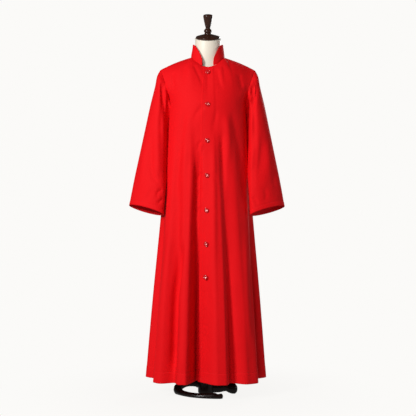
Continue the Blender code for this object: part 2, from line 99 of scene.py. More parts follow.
def lacquered_wood(name, dark, light, grain_mm, coats):
    """Stained hardwood under gloss lacquer: brown streaks along the grain, and a coat that gives long soft
    highlights. Grain lines are grain_mm apart across the wood and run far along it."""
    material, shader = new_material(name, {
        "Metallic": 0.0, "IOR": 1.5, "Coat Weight": coats, "Coat Roughness": 0.10, "Coat IOR": 1.5,
        "Specular IOR Level": 0.25,
    })
    place = add_node(material, "TexCoord", {}, {}).outputs["Object"]
    across_grain = 1000 / grain_mm / GRAIN_NOISE_SCALE
    turned = add_node(material, "Mapping", {}, {
        "Vector": place, "Scale": (across_grain, across_grain, across_grain * GRAIN_STRETCH),
    }).outputs["Vector"]
    grain = noise(material, turned, Scale=GRAIN_NOISE_SCALE, Detail=5.0, Roughness=0.6, Distortion=0.4)
    streaks = add_node(material, "MapRange", {}, {
        "Value": grain, "From Min": 0.38, "From Max": 0.66,
    }).outputs["Result"]
    colour = blend_colours(material, streaks, dark, light)
    worn = add_node(material, "MapRange", {}, {
        "Value": grain, "To Min": 0.24, "To Max": 0.40,
    }).outputs["Result"]
    pores = add_node(material, "Bump", {}, {
        "Height": grain, "Strength": 0.25, "Distance": 0.0003,
    }).outputs["Normal"]
    links = material.node_tree.links
    links.new(colour, shader.inputs["Base Color"])
    links.new(worn, shader.inputs["Roughness"])
    links.new(pores, shader.inputs["Normal"])
    return material


def round_the_surface(piece):
    """Ends the drawing up of a piece: faces outwards, place in the mesh, edges rounded."""
    bpy.ops.mesh.select_all(action="SELECT")
    bpy.ops.mesh.normals_make_consistent(inside=False)
    bpy.ops.object.mode_set(mode="OBJECT")
    bpy.ops.object.transform_apply(location=True, rotation=True, scale=True)
    bpy.ops.object.modifier_add(type="SUBSURF")
    rounded = piece.modifiers[-1]
    rounded.levels = rounded.render_levels = 2
    bpy.ops.object.modifier_apply(modifier=rounded.name)


def turn_on_lathe(name, profile, sides):
    """A turned piece standing at the origin: a disc drawn up ring by ring, then smoothed."""
    bpy.ops.object.select_all(action="DESELECT")
    radius, height = profile[0]
    bpy.ops.mesh.primitive_circle_add(
        vertices=sides, radius=radius, fill_type="NGON", location=(0, 0, height)
    )
    piece = bpy.context.object
    piece.name = name
    bpy.ops.object.mode_set(mode="EDIT")
    for next_radius, next_height in profile[1:]:
        bpy.ops.mesh.extrude_region_move(
            TRANSFORM_OT_translate={"value": (0, 0, next_height - height)}
        )
        grown = next_radius / radius
        bpy.ops.transform.resize(value=(grown, grown, 1), center_override=(0, 0, next_height))
        radius, height = next_radius, next_height
    round_the_surface(piece)
    bpy.ops.object.shade_smooth()
    return piece


def finish_piece(piece, material, slot, *nodes):
    """The piece takes its material, rides on the one body and stands for its CAD nodes."""
    piece.data.materials.clear()
    piece.data.materials.append(material)
    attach(piece, "root")
    if nodes:
        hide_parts(*nodes)
    return piece


black_stained_wood = lacquered_wood("black_stained_beech", "#0a0504", "#20100c", 2.5, 0.10)
hub = turn_on_lathe("turned_hub", HUB_PROFILE, HUB_SIDES)
finish_piece(hub, black_stained_wood, "stand_wood", "stand_hub")
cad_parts["stand_pole"].data.materials.clear()
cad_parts["stand_pole"].data.materials.append(black_stained_wood)

# ---------------------------------------------------------------------------------------------------------
# Three carved legs. One sweeps forwards and curls into a scroll, two are short with a knob for a foot.
# Each is carved from one board, with a quirk line cut along both shoulders, and is dowelled to the hub.
# ---------------------------------------------------------------------------------------------------------
Station = namedtuple("Station", "x y z half_width half_height")
SCROLL_LEG = (
    Station(-0.0250, 0.000, 0.0420, 0.0150, 0.0160),
    Station(-0.0600, 0.002, 0.0440, 0.0140, 0.0150),
    Station(-0.0850, 0.002, 0.0420, 0.0140, 0.0160),
    Station(-0.1080, -0.003, 0.0330, 0.0150, 0.0200),
    Station(-0.1220, -0.016, 0.0200, 0.0165, 0.0200),
    Station(-0.1080, -0.043, 0.0120, 0.0165, 0.0120),
    Station(-0.0840, -0.070, 0.0100, 0.0160, 0.0100),
    Station(-0.0540, -0.093, 0.0095, 0.0155, 0.0095),
    Station(-0.0150, -0.109, 0.0100, 0.0150, 0.0100),
    Station(0.0150, -0.115, 0.0112, 0.0150, 0.0112),
    Station(0.0380, -0.118, 0.0118, 0.0145, 0.0118),
    Station(0.0500, -0.119, 0.0095, 0.0120, 0.0095),
    Station(0.0560, -0.119, 0.0100, 0.0120, 0.0100),
    Station(0.0650, -0.118, 0.0105, 0.0118, 0.0103),
    Station(0.0700, -0.117, 0.0100, 0.0080, 0.0080),
    Station(0.0718, -0.117, 0.0100, 0.0030, 0.0030),
)
PLAIN_LEG = (
    Station(0.0250, 0.000, 0.0280, 0.0150, 0.0250),
    Station(0.0600, 0.000, 0.0275, 0.0140, 0.0225),
    Station(0.0850, 0.000, 0.0290, 0.0140, 0.0190),
    Station(0.0990, 0.000, 0.0240, 0.0165, 0.0200),
    Station(0.1130, 0.000, 0.0218, 0.0190, 0.0217),
    Station(0.1260, 0.000, 0.0205, 0.0165, 0.0200),
    Station(0.1340, 0.000, 0.0200, 0.0095, 0.0110),
    Station(0.1358, 0.000, 0.0200, 0.0030, 0.0040),
)
LEG_SIDES = 48
LEG_ROWS = 110
Quirk = namedtuple("Quirk", "at_deg depth spread_deg")
QUIRKS = (
    Quirk(58, 0.13, 8), Quirk(122, 0.13, 8), Quirk(90, -0.05, 16), Quirk(12, 0.06, 7),
    Quirk(168, 0.06, 7),
)
FLAT_UNDERSIDE = 0.9


def curve_through(keys, values, key):
    """A smooth curve through the values, read at each key. A value may be a number or a point."""
    keys, values = np.asarray(keys, float), np.asarray(values, float)
    if keys[0] > keys[-1]:
        keys, values = keys[::-1], values[::-1]
    key = np.clip(key, keys[0], keys[-1])
    i = np.clip(np.searchsorted(keys, key, side="right") - 1, 0, len(keys) - 2)
    after = np.minimum(np.arange(len(keys)) + 1, len(keys) - 1)
    before = np.maximum(np.arange(len(keys)) - 1, 0)
    points = values.reshape(len(keys), -1)
    slopes = (points[after] - points[before]) / (keys[after] - keys[before])[:, None]
    span = (keys[i + 1] - keys[i])[..., None]
    share = (key - keys[i])[..., None] / span
    s2, s3 = share * share, share ** 3
    read = (
        points[i] * (2 * s3 - 3 * s2 + 1)
        + points[i + 1] * (3 * s2 - 2 * s3)
        + slopes[i] * span * (s3 - 2 * s2 + share)
        + slopes[i + 1] * span * (s3 - s2)
    )
    return read.reshape(*np.shape(key), *values.shape[1:])


def place_piece(name, data):
    """A new object in the scene, at the origin, that shows this mesh, light or camera."""
    piece = bpy.data.objects.new(name, data)
    bpy.context.scene.collection.objects.link(piece)
    return piece


def skin_rows(name, rows, ring, capped):
    """A mesh skinned over rows of points, with UVs in metres along and down the surface."""
    count, width = rows.shape[:2]
    start = np.arange(count - 1)[:, None] * width
    column = np.arange(width if ring else width - 1)[None, :]
    right = (column + 1) % width
    faces = np.stack([start + column, start + width + column, start + width + right, start + right], 2)
    faces = faces.reshape(-1, 4).tolist()
    if capped:
        last = (count - 1) * width
        faces.append(list(range(width)))
        faces.append(list(range(last + width - 1, last - 1, -1)))
    mesh = bpy.data.meshes.new(name)
    mesh.from_pydata(rows.reshape(-1, 3).tolist(), [], faces)
    closed = np.concatenate([rows, rows[:, :1]], 1) if ring else rows
    across = np.linalg.norm(np.diff(closed, axis=1), axis=2).cumsum(1)
    across = np.concatenate([np.zeros((count, 1)), across], 1)
    down = np.linalg.norm(np.diff(closed, axis=0), axis=2).cumsum(0).mean(1)
    down = np.broadcast_to(np.concatenate([[0.0], down])[:, None], across.shape)
    loops = np.zeros(len(mesh.loops) * 2)
    corner = 0
    uv = mesh.uv_layers.new(name="cut_in_metres")
    strips = faces[:-2] if capped else faces
    for face in strips:
        row, at = divmod(face[0], width)
        for step_down, step_right in ((0, 0), (1, 0), (1, 1), (0, 1)):
            loops[corner] = across[row + step_down, at + step_right]
            loops[corner + 1] = down[row + step_down, at + step_right]
            corner += 2
    uv.data.foreach_set("uv", loops)
    mesh.shade_smooth()
    return place_piece(name, mesh)


def carve_leg(name, stations, turn, reach):
    """A leg carved square to its middle line, flat below, with quirk lines along its upper side."""
    table = np.array(stations)
    keys = np.concatenate([[0.0], np.linalg.norm(np.diff(table[:, :3], axis=0), axis=1).cumsum()])
    at = np.linspace(0, keys[-1], LEG_ROWS)
    middle = curve_through(keys, table[:, :3], at)
    half = curve_through(keys, table[:, 3:], at)
    heading = np.gradient(middle, axis=0)[:, :2]
    heading /= np.linalg.norm(heading, axis=1)[:, None]
    around = 360 * (np.arange(LEG_SIDES) + 0.5) / LEG_SIDES
    out = np.ones(LEG_SIDES)
    for quirk in QUIRKS:
        out -= quirk.depth * np.exp(-((around - quirk.at_deg) / quirk.spread_deg) ** 2)
    across = np.cos(np.radians(around)) * out
    up = np.sin(np.radians(around))
    up = np.where(up > 0, up * out, np.maximum(up / FLAT_UNDERSIDE, -1))
    rows = np.zeros((LEG_ROWS, LEG_SIDES, 3))
    rows[..., 0] = middle[:, :1] - heading[:, 1:] * half[:, :1] * across
    rows[..., 1] = middle[:, 1:2] + heading[:, :1] * half[:, :1] * across
    rows[..., 2] = np.maximum(middle[:, 2:] + half[:, 1:] * up, 0.0)
    rows[..., :2] *= reach
    turned = rows @ np.array(Matrix.Rotation(turn, 3, "Z")).T
    return skin_rows(name, turned[::-1], ring=True, capped=True)


legs = {
    "leg_scroll": carve_leg("carved_scroll_leg", SCROLL_LEG, 0.0, 1.0),
    "leg_right": carve_leg("carved_right_leg", PLAIN_LEG, radians(-2), 1.0),
    "leg_back": carve_leg("carved_back_leg", PLAIN_LEG, radians(104), 1.12),
}
for node, carved in legs.items():
    finish_piece(carved, black_stained_wood, "stand_wood", node)

# ---------------------------------------------------------------------------------------------------------
# Dress form body. A moulded shell with hips, waist, chest, sloping shoulders and a neck cut at a slant,
# sprayed with ivory satin lacquer. The neck's edge is rolled into a small lip, which the cap sits on.
# ---------------------------------------------------------------------------------------------------------
FormRing = namedtuple("FormRing", "z half_width front back")
FORM_RINGS = (
    FormRing(0.8000, 0.1400, 0.094, 0.094),
    FormRing(0.8040, 0.1500, 0.100, 0.101),
    FormRing(0.8120, 0.1540, 0.103, 0.104),
    FormRing(0.8700, 0.1600, 0.106, 0.108),
    FormRing(0.9500, 0.1480, 0.100, 0.099),
    FormRing(1.0400, 0.1260, 0.092, 0.080),
    FormRing(1.1200, 0.1350, 0.103, 0.084),
    FormRing(1.2000, 0.1480, 0.112, 0.090),
    FormRing(1.2700, 0.1530, 0.098, 0.088),
    FormRing(1.3200, 0.1600, 0.078, 0.078),
    FormRing(1.3520, 0.1610, 0.060, 0.066),
    FormRing(1.3740, 0.1400, 0.050, 0.058),
    FormRing(1.3920, 0.1040, 0.046, 0.053),
    FormRing(1.4080, 0.0760, 0.046, 0.050),
    FormRing(1.4250, 0.0610, 0.048, 0.049),
    FormRing(1.4550, 0.0560, 0.053, 0.049),
    FormRing(1.4880, 0.0545, 0.057, 0.048),
    FormRing(1.5600, 0.0545, 0.059, 0.050),
)
FORM_SIDES = 40
NECK_TOP = Vector((0, -0.004, 1.523))
NECK_TILT = radians(20)
NECK_TOP_RADIUS = 0.054
LIP_RADIUS = 0.0024


def ivory_lacquer():
    """Satin lacquer over a moulded shell: warm ivory with a faint yellow cast in places, very slightly
    uneven as sprayed paint is, and a soft broad highlight."""
    material, shader = new_material("ivory_satin_lacquer", {
        "Metallic": 0.0, "IOR": 1.5, "Coat Weight": 0.12, "Coat Roughness": 0.35,
    })
    place = add_node(material, "TexCoord", {}, {}).outputs["Object"]
    aged = noise(material, place, Scale=9.0, Detail=3.0)
    colour = blend_colours(material, aged, "#ece4d4", "#e4d9c6")
    spray = noise(material, place, Scale=700.0)
    skin = add_node(material, "Bump", {}, {
        "Height": spray, "Strength": 0.08, "Distance": 0.0004,
    }).outputs["Normal"]
    rough = add_node(material, "MapRange", {}, {
        "Value": aged, "To Min": 0.42, "To Max": 0.55,
    }).outputs["Result"]
    links = material.node_tree.links
    links.new(colour, shader.inputs["Base Color"])
    links.new(rough, shader.inputs["Roughness"])
    links.new(skin, shader.inputs["Normal"])
    return material


def mould_form(name, rings):
    """Draws the form up ring by ring from its base, smooths it and cuts the neck at its slant."""
    bpy.ops.object.select_all(action="DESELECT")
    first = rings[0]
    bpy.ops.mesh.primitive_circle_add(
        vertices=FORM_SIDES, radius=first.half_width, fill_type="NGON", location=(0, 0, first.z)
    )
    piece = bpy.context.object
    piece.name = name
    bpy.ops.object.mode_set(mode="EDIT")
    depth = (first.front + first.back) / 2
    bpy.ops.transform.resize(value=(1, depth / first.half_width, 1), center_override=(0, 0, first.z))
    for before, ring in zip(rings, rings[1:]):
        middle = (ring.back - ring.front) / 2
        forwards = middle - (before.back - before.front) / 2
        bpy.ops.mesh.extrude_region_move(
            TRANSFORM_OT_translate={"value": (0, forwards, ring.z - before.z)}
        )
        wider = ring.half_width / before.half_width
        deeper = (ring.front + ring.back) / (before.front + before.back)
        bpy.ops.transform.resize(value=(wider, deeper, 1), center_override=(0, middle, ring.z))
    round_the_surface(piece)
    bpy.ops.object.mode_set(mode="EDIT")
    bpy.ops.mesh.select_all(action="SELECT")
    bpy.ops.mesh.bisect(
        plane_co=NECK_TOP, plane_no=(0, -sin(NECK_TILT), cos(NECK_TILT)), use_fill=True, clear_outer=True
    )
    bpy.ops.object.mode_set(mode="OBJECT")
    bpy.ops.object.shade_smooth_by_angle(angle=radians(40))
    return piece


ivory = ivory_lacquer()
form = mould_form("form_body", FORM_RINGS)
finish_piece(form, ivory, "form", "form_torso")
bpy.ops.object.select_all(action="DESELECT")
bpy.ops.mesh.primitive_torus_add(
    major_radius=NECK_TOP_RADIUS, minor_radius=LIP_RADIUS, major_segments=72, minor_segments=12,
    location=NECK_TOP - Vector((0, -sin(NECK_TILT), cos(NECK_TILT))) * LIP_RADIUS,
    rotation=(NECK_TILT, 0, 0),
)
lip = bpy.context.object
lip.name = "form_neck_lip"
bpy.ops.object.transform_apply(location=True, rotation=True, scale=True)
bpy.ops.object.shade_smooth()
finish_piece(lip, ivory, "form")

# ---------------------------------------------------------------------------------------------------------
# Neck cap and finial. Both are turned from walnut and lacquered to a gloss: a shallow disc with rings cut
# round it, and a grip shaped like a goblet over a ball, screwed down square to the slanted neck.
# ---------------------------------------------------------------------------------------------------------
CAP_PROFILE = (
    (0.0500, 0.0004), (0.0518, 0.0012), (0.0525, 0.0030), (0.0524, 0.0052), (0.0512, 0.0072),
    (0.0490, 0.0086), (0.0468, 0.0092), (0.0440, 0.0101), (0.0425, 0.0099), (0.0410, 0.0110),
    (0.0360, 0.0128), (0.0342, 0.0127), (0.0325, 0.0138), (0.0270, 0.0150), (0.0255, 0.0148),
    (0.0240, 0.0159), (0.0200, 0.0172), (0.0180, 0.0180),
)
FINIAL_PROFILE = (
    (0.0147, 0.0000), (0.0152, 0.0012), (0.0148, 0.0040), (0.0138, 0.0058), (0.0142, 0.0075),
    (0.0164, 0.0100), (0.0175, 0.0130), (0.0172, 0.0160), (0.0156, 0.0190), (0.0130, 0.0216),
    (0.0110, 0.0238), (0.0099, 0.0255), (0.0099, 0.0272), (0.0108, 0.0300), (0.0130, 0.0380),
    (0.0150, 0.0465), (0.0170, 0.0560), (0.0187, 0.0645), (0.0201, 0.0725), (0.0206, 0.0760),
    (0.0207, 0.0785), (0.0200, 0.0806), (0.0176, 0.0822), (0.0130, 0.0836), (0.0070, 0.0846),
    (0.0020, 0.0849),
)
CAP_SEAT = 0.0004

walnut = lacquered_wood("gloss_walnut", "#1c0d08", "#4c2a1b", 2.0, 0.35)
cap = turn_on_lathe("turned_neck_cap", CAP_PROFILE, 36)
finial = turn_on_lathe("turned_finial", FINIAL_PROFILE, 32)
slant = Matrix.Translation(NECK_TOP) @ Matrix.Rotation(NECK_TILT, 4, "X")
cap.data.transform(slant @ Matrix.Translation((0, 0, CAP_SEAT)))
finial.data.transform(slant @ Matrix.Translation((0, 0, CAP_PROFILE[-1][1] + 2 * CAP_SEAT)))
finish_piece(cap, walnut, "cap_wood", "neck_cap")
finish_piece(finial, walnut, "cap_wood", "finial")

# ---------------------------------------------------------------------------------------------------------
# Back and two fronts. Each is cut in one length from a light plain-weave cloth, sewn at the shoulders and
# sides, with a turned hem. The left front laps over the right. Long folds fall from the chest, and soft
# creases run from the collar, the armholes and the buttons.
# ---------------------------------------------------------------------------------------------------------
CLOTH = 0.0012
SEAM_GAP = 0.0003
HEM_Z = 0.070
CHEST_Z = 1.238
SQUARENESS = 2.2
SIDE_SEAM_DEG = 90.0
SHOULDER_LEVEL = 0.0008
NECK_HALF_WIDTH = 0.0705
NECK_DEPTH = 0.066
NECK_SIDE_Z = 1.441
NECK_FRONT_Z = 1.391
NECK_BACK_Z = 1.452
NECK_POINT_DEG = 45.0
SHOULDER_TIP_X = 0.203
SHOULDER_TIP_Z = 1.387
LAP_DEG = 7.0
LAP_END_DEG = 11.0
LAP_LIFT = CLOTH + 2 * SEAM_GAP
LAP_SHARE = 0.82
BODY_ROWS = 250
YOKE_ROWS = 46
STITCH_ROWS = 9
HEM_ROWS = 13
STITCH_BAND = 0.004
FRONT_COLUMNS = 124
LAP_COLUMNS = 26
BACK_COLUMNS = 156
SIDE_GAP_DEG = 0.04
SIDE_METRES_PER_DEG = 0.0035
EDGE_METRES_PER_DEG = 0.0030
EDGE_WIDTH = 0.004
EDGE_FULLNESS = 0.0006
SHOULDER_RISE = 0.004
FOLD_EASE = 0.35
CREASE_STEPS = 10
CREASE_REACH = 3.2
CLOTH_EASE = 0.003

Hem = namedtuple("Hem", "depth groove groove_width fullness")
BODY_HEM = Hem(0.046, 0.0005, 0.0016, 0.0006)
CUFF_HEM = Hem(0.020, 0.0006, 0.0015, 0.0005)
Seam = namedtuple("Seam", "pucker_pitch depth reach")
SIDE_SEAM = Seam(0.034, 0.0011, 0.0035)
SLEEVE_HEAD_SEAM = Seam(0.028, 0.0007, 0.004)
COLLAR_SEAM = Seam(0.020, 0.0006, 0.004)

Section = namedtuple("Section", "z half_width front back")
BODY_SECTIONS = (
    Section(1.300, 0.160, 0.124, 0.106),
    Section(1.238, 0.162, 0.128, 0.108),
    Section(1.100, 0.171, 0.132, 0.112),
    Section(0.976, 0.179, 0.140, 0.122),
    Section(0.850, 0.189, 0.150, 0.134),
    Section(0.744, 0.198, 0.158, 0.146),
    Section(0.400, 0.230, 0.182, 0.178),
    Section(0.070, 0.257, 0.200, 0.205),
)
Fold = namedtuple("Fold", "chest_deg hem_deg start_z depth before_deg after_deg")
FOLDS = (
    Fold(-16, -9.6, 1.140, 0.108, 8.0, 20),
    Fold(17.5, 24.5, 1.120, 0.048, 8, 18),
    Fold(-42, -33.5, 1.160, 0.040, 15, 11),
    Fold(48, 44, 1.160, 0.005, 12, 12),
    Fold(-74, -70, 0.960, 0.050, 14, 14),
    Fold(74, 71, 0.960, 0.052, 16, 14),
    Fold(-112, -114, 1.050, 0.045, 15, 15),
    Fold(112, 116, 1.050, 0.045, 15, 15),
    Fold(-140, -138, 1.120, 0.060, 13, 15),
    Fold(138, 141, 1.120, 0.058, 15, 13),
    Fold(-163, -164, 1.080, 0.066, 13, 13),
    Fold(165, 163, 1.080, 0.060, 14, 12),
)
HemPoint = namedtuple("HemPoint", "turn_deg z")
HEM_LINE = (
    HemPoint(0, 0.0705), HemPoint(25, 0.0690), HemPoint(50, 0.0655), HemPoint(70, 0.0690),
    HemPoint(90, 0.0755), HemPoint(135, 0.0710), HemPoint(180, 0.0680),
)
# Where the cloth bends between its top line and the chest: at the middle, half way round and at the side.
FRONT_PULL = ((0, -0.103, 1.325), (0.108, -0.096, 1.400), (0.170, -0.085, 1.300))
BACK_PULL = ((0, 0.098, 1.380), (0.106, 0.092, 1.410), (0.174, 0.085, 1.305))

# Creases, each as a path from its top down in (x, z), its half width, its depth (a ridge is negative),
# how far its steep side leans to the left (-) or right (+), and the share over which each end fades.
Crease = namedtuple("Crease", "path width depth lean start end")
FRONT_CREASES = (
    # from the collar to the fly edge and the chest
    Crease(((-0.063, 1.404), (-0.036, 1.346), (-0.014, 1.286)), 0.008, 0.0030, 0.3, 0.1, 0.5),
    Crease(((-0.092, 1.400), (-0.103, 1.345), (-0.106, 1.300)), 0.013, 0.0022, 0.0, 0.2, 0.6),
    Crease(((-0.076, 1.400), (-0.070, 1.345), (-0.060, 1.280)), 0.014, -0.0022, 0.0, 0.2, 0.6),
    Crease(((0.038, 1.386), (0.050, 1.322), (0.066, 1.284)), 0.010, 0.0022, -0.3, 0.1, 0.5),
    Crease(((0.065, 1.399), (0.069, 1.357), (0.071, 1.300)), 0.008, 0.0014, 0.3, 0.1, 0.5),
    Crease(((0.052, 1.392), (0.060, 1.345), (0.078, 1.280)), 0.010, -0.0014, 0.0, 0.2, 0.5),
    Crease(((0.095, 1.398), (0.104, 1.350), (0.100, 1.290)), 0.016, -0.0026, 0.0, 0.3, 0.5),
    # from the armholes
    Crease(((-0.145, 1.376), (-0.147, 1.332), (-0.134, 1.276)), 0.008, 0.0034, 0.3, 0.2, 0.5),
    Crease(((-0.166, 1.350), (-0.165, 1.310), (-0.145, 1.250)), 0.008, -0.0024, 0.0, 0.3, 0.5),
    Crease(((0.136, 1.366), (0.139, 1.332), (0.156, 1.272)), 0.010, 0.0028, -0.3, 0.2, 0.4),
    Crease(((0.160, 1.340), (0.150, 1.290), (0.128, 1.235)), 0.011, -0.0028, 0.0, 0.3, 0.5),
    # drawn between the buttons
    Crease(((-0.016, 1.226), (-0.048, 1.188), (-0.058, 1.146)), 0.010, 0.0028, 0.3, 0.15, 0.6),
    Crease(((-0.091, 1.214), (-0.103, 1.132), (-0.108, 1.080)), 0.012, 0.0030, 0.2, 0.3, 0.5),
    Crease(((-0.075, 1.200), (-0.080, 1.120), (-0.082, 1.040)), 0.016, -0.0030, 0.0, 0.3, 0.5),
    Crease(((0.042, 1.214), (0.028, 1.146), (0.026, 1.080)), 0.010, 0.0030, -0.2, 0.3, 0.5),
    Crease(((0.096, 1.222), (0.120, 1.120), (0.126, 1.040)), 0.016, 0.0042, 0.1, 0.3, 0.4),
    Crease(((0.076, 1.200), (0.086, 1.080), (0.089, 0.940)), 0.015, -0.0075, 0.0, 0.3, 0.5),
    Crease(((-0.020, 1.080), (-0.036, 1.058), (-0.044, 1.026)), 0.006, 0.0030, 0.0, 0.2, 0.5),
    Crease(((-0.018, 1.070), (-0.026, 1.040), (-0.030, 1.006)), 0.005, -0.0022, 0.0, 0.3, 0.5),
    Crease(((-0.018, 0.945), (-0.034, 0.930), (-0.046, 0.905)), 0.006, 0.0034, 0.0, 0.2, 0.5),
    Crease(((-0.018, 0.880), (-0.032, 0.862), (-0.040, 0.838)), 0.006, 0.0026, 0.0, 0.2, 0.5),
    Crease(((-0.018, 0.800), (-0.032, 0.790), (-0.040, 0.764)), 0.006, 0.0030, 0.0, 0.2, 0.5),
    Crease(((0.020, 0.948), (0.030, 0.920), (0.034, 0.880)), 0.008, 0.0018, 0.0, 0.3, 0.5),
    Crease(((0.016, 0.800), (0.028, 0.774), (0.032, 0.730)), 0.008, 0.0018, 0.0, 0.3, 0.5),
    # long soft folds of the skirt
    Crease(
        ((-0.102, 1.130), (-0.115, 0.994), (-0.125, 0.893), (-0.130, 0.742)),
        0.012, 0.0040, -0.2, 0.3, 0.4,
    ),
    Crease(((-0.086, 1.080), (-0.096, 0.960), (-0.100, 0.820)), 0.015, -0.0032, 0.0, 0.3, 0.4),
    Crease(
        ((0.058, 1.130), (0.064, 1.050), (0.069, 0.940), (0.070, 0.800)),
        0.012, 0.0085, -0.25, 0.4, 0.5,
    ),
    Crease(
        ((-0.028, 1.080), (-0.032, 0.980), (-0.035, 0.880), (-0.036, 0.700)),
        0.012, 0.0110, -0.2, 0.5, 0.5,
    ),
    Crease(((-0.060, 1.020), (-0.066, 0.900), (-0.068, 0.740)), 0.014, -0.0050, 0.0, 0.4, 0.4),
    Crease(((0.026, 1.100), (0.028, 0.960), (0.030, 0.720), (0.034, 0.500)), 0.013, -0.0050, 0.0, 0.3, 0.4),
    Crease(
        ((-0.096, 0.680), (-0.104, 0.580), (-0.122, 0.450), (-0.127, 0.340), (-0.132, 0.090)),
        0.012, 0.0170, -0.3, 0.3, 0.1,
    ),
    Crease(((-0.084, 0.700), (-0.088, 0.450), (-0.094, 0.100)), 0.014, -0.0050, 0.0, 0.3, 0.1),
    Crease(((0.128, 1.110), (0.141, 1.010), (0.152, 0.900), (0.163, 0.780)), 0.016, 0.0080, 0.0, 0.3, 0.4),
    Crease(
        ((-0.178, 0.760), (-0.188, 0.620), (-0.206, 0.440), (-0.212, 0.300)),
        0.014, 0.0040, 0.0, 0.4, 0.4,
    ),
    Crease(
        ((-0.152, 0.720), (-0.168, 0.560), (-0.186, 0.380), (-0.192, 0.160)),
        0.015, -0.0045, 0.0, 0.3, 0.3,
    ),
    Crease(((0.158, 0.720), (0.164, 0.560), (0.170, 0.380), (0.188, 0.160)), 0.014, -0.0045, 0.1, 0.3, 0.3),
    Crease(((0.180, 0.700), (0.188, 0.520), (0.196, 0.360), (0.206, 0.200)), 0.013, 0.0050, 0.0, 0.4, 0.4),
    Crease(((0.100, 0.640), (0.112, 0.480), (0.122, 0.320), (0.130, 0.160)), 0.018, -0.0035, 0.0, 0.4, 0.3),
    Crease(((0.010, 0.520), (0.018, 0.380), (0.028, 0.240)), 0.016, 0.0028, 0.0, 0.4, 0.5),
    # small puckers beside the fly edge
    Crease(((-0.018, 0.372), (0.004, 0.364)), 0.0035, 0.0016, 0.0, 0.3, 0.5),
    Crease(((-0.018, 0.312), (0.010, 0.306)), 0.0035, 0.0018, 0.0, 0.3, 0.5),
    Crease(((-0.016, 0.292), (0.002, 0.287)), 0.0030, 0.0014, 0.0, 0.3, 0.5),
    Crease(((-0.008, 0.266), (0.010, 0.260)), 0.0035, 0.0016, 0.0, 0.3, 0.5),
    Crease(((-0.016, 0.446), (0.004, 0.440)), 0.0035, 0.0014, 0.0, 0.3, 0.5),
    Crease(((-0.014, 0.196), (0.006, 0.188)), 0.0035, 0.0012, 0.0, 0.3, 0.5),
)
BACK_CREASES = (
    Crease(((0.036, 1.440), (0.052, 1.380), (0.086, 1.320)), 0.011, 0.0034, 0.0, 0.2, 0.5),
    Crease(((-0.040, 1.440), (-0.058, 1.385), (-0.084, 1.330)), 0.012, 0.0030, 0.0, 0.2, 0.5),
    Crease(((0.006, 1.430), (0.002, 1.330), (-0.006, 1.200)), 0.016, 0.0024, 0.0, 0.3, 0.6),
    Crease(((0.150, 1.360), (0.140, 1.300), (0.112, 1.220)), 0.011, 0.0040, 0.2, 0.2, 0.5),
    Crease(((-0.152, 1.355), (-0.140, 1.290), (-0.110, 1.205)), 0.012, 0.0044, -0.2, 0.2, 0.5),
    Crease(((0.128, 1.300), (0.112, 1.200), (0.106, 1.080)), 0.016, -0.0036, 0.0, 0.3, 0.5),
    Crease(((-0.130, 1.290), (-0.116, 1.190), (-0.112, 1.060)), 0.015, -0.0034, 0.0, 0.3, 0.5),
    Crease(((0.062, 1.230), (0.058, 1.080), (0.062, 0.940)), 0.016, 0.0050, 0.2, 0.4, 0.5),
    Crease(((-0.064, 1.210), (-0.060, 1.060), (-0.066, 0.900)), 0.017, 0.0052, -0.2, 0.4, 0.5),
    Crease(((0.020, 1.180), (0.024, 1.020), (0.030, 0.860)), 0.015, -0.0034, 0.0, 0.4, 0.5),
    Crease(((-0.024, 1.150), (-0.026, 0.990), (-0.034, 0.820)), 0.015, -0.0030, 0.0, 0.4, 0.5),
    Crease(((0.196, 0.720), (0.206, 0.540), (0.214, 0.360)), 0.014, 0.0040, 0.0, 0.4, 0.5),
    Crease(((-0.192, 0.700), (-0.202, 0.500), (-0.212, 0.300)), 0.014, 0.0044, 0.0, 0.4, 0.5),
    Crease(((0.140, 0.640), (0.152, 0.440), (0.166, 0.220)), 0.015, -0.0040, 0.0, 0.4, 0.4),
    Crease(((-0.136, 0.600), (-0.150, 0.400), (-0.160, 0.200)), 0.016, -0.0040, 0.0, 0.4, 0.4),
    Crease(((0.004, 0.620), (0.008, 0.420), (0.002, 0.220)), 0.016, -0.0038, 0.0, 0.4, 0.4),
)


DRAWN_THREAD_PITCH = 0.0016


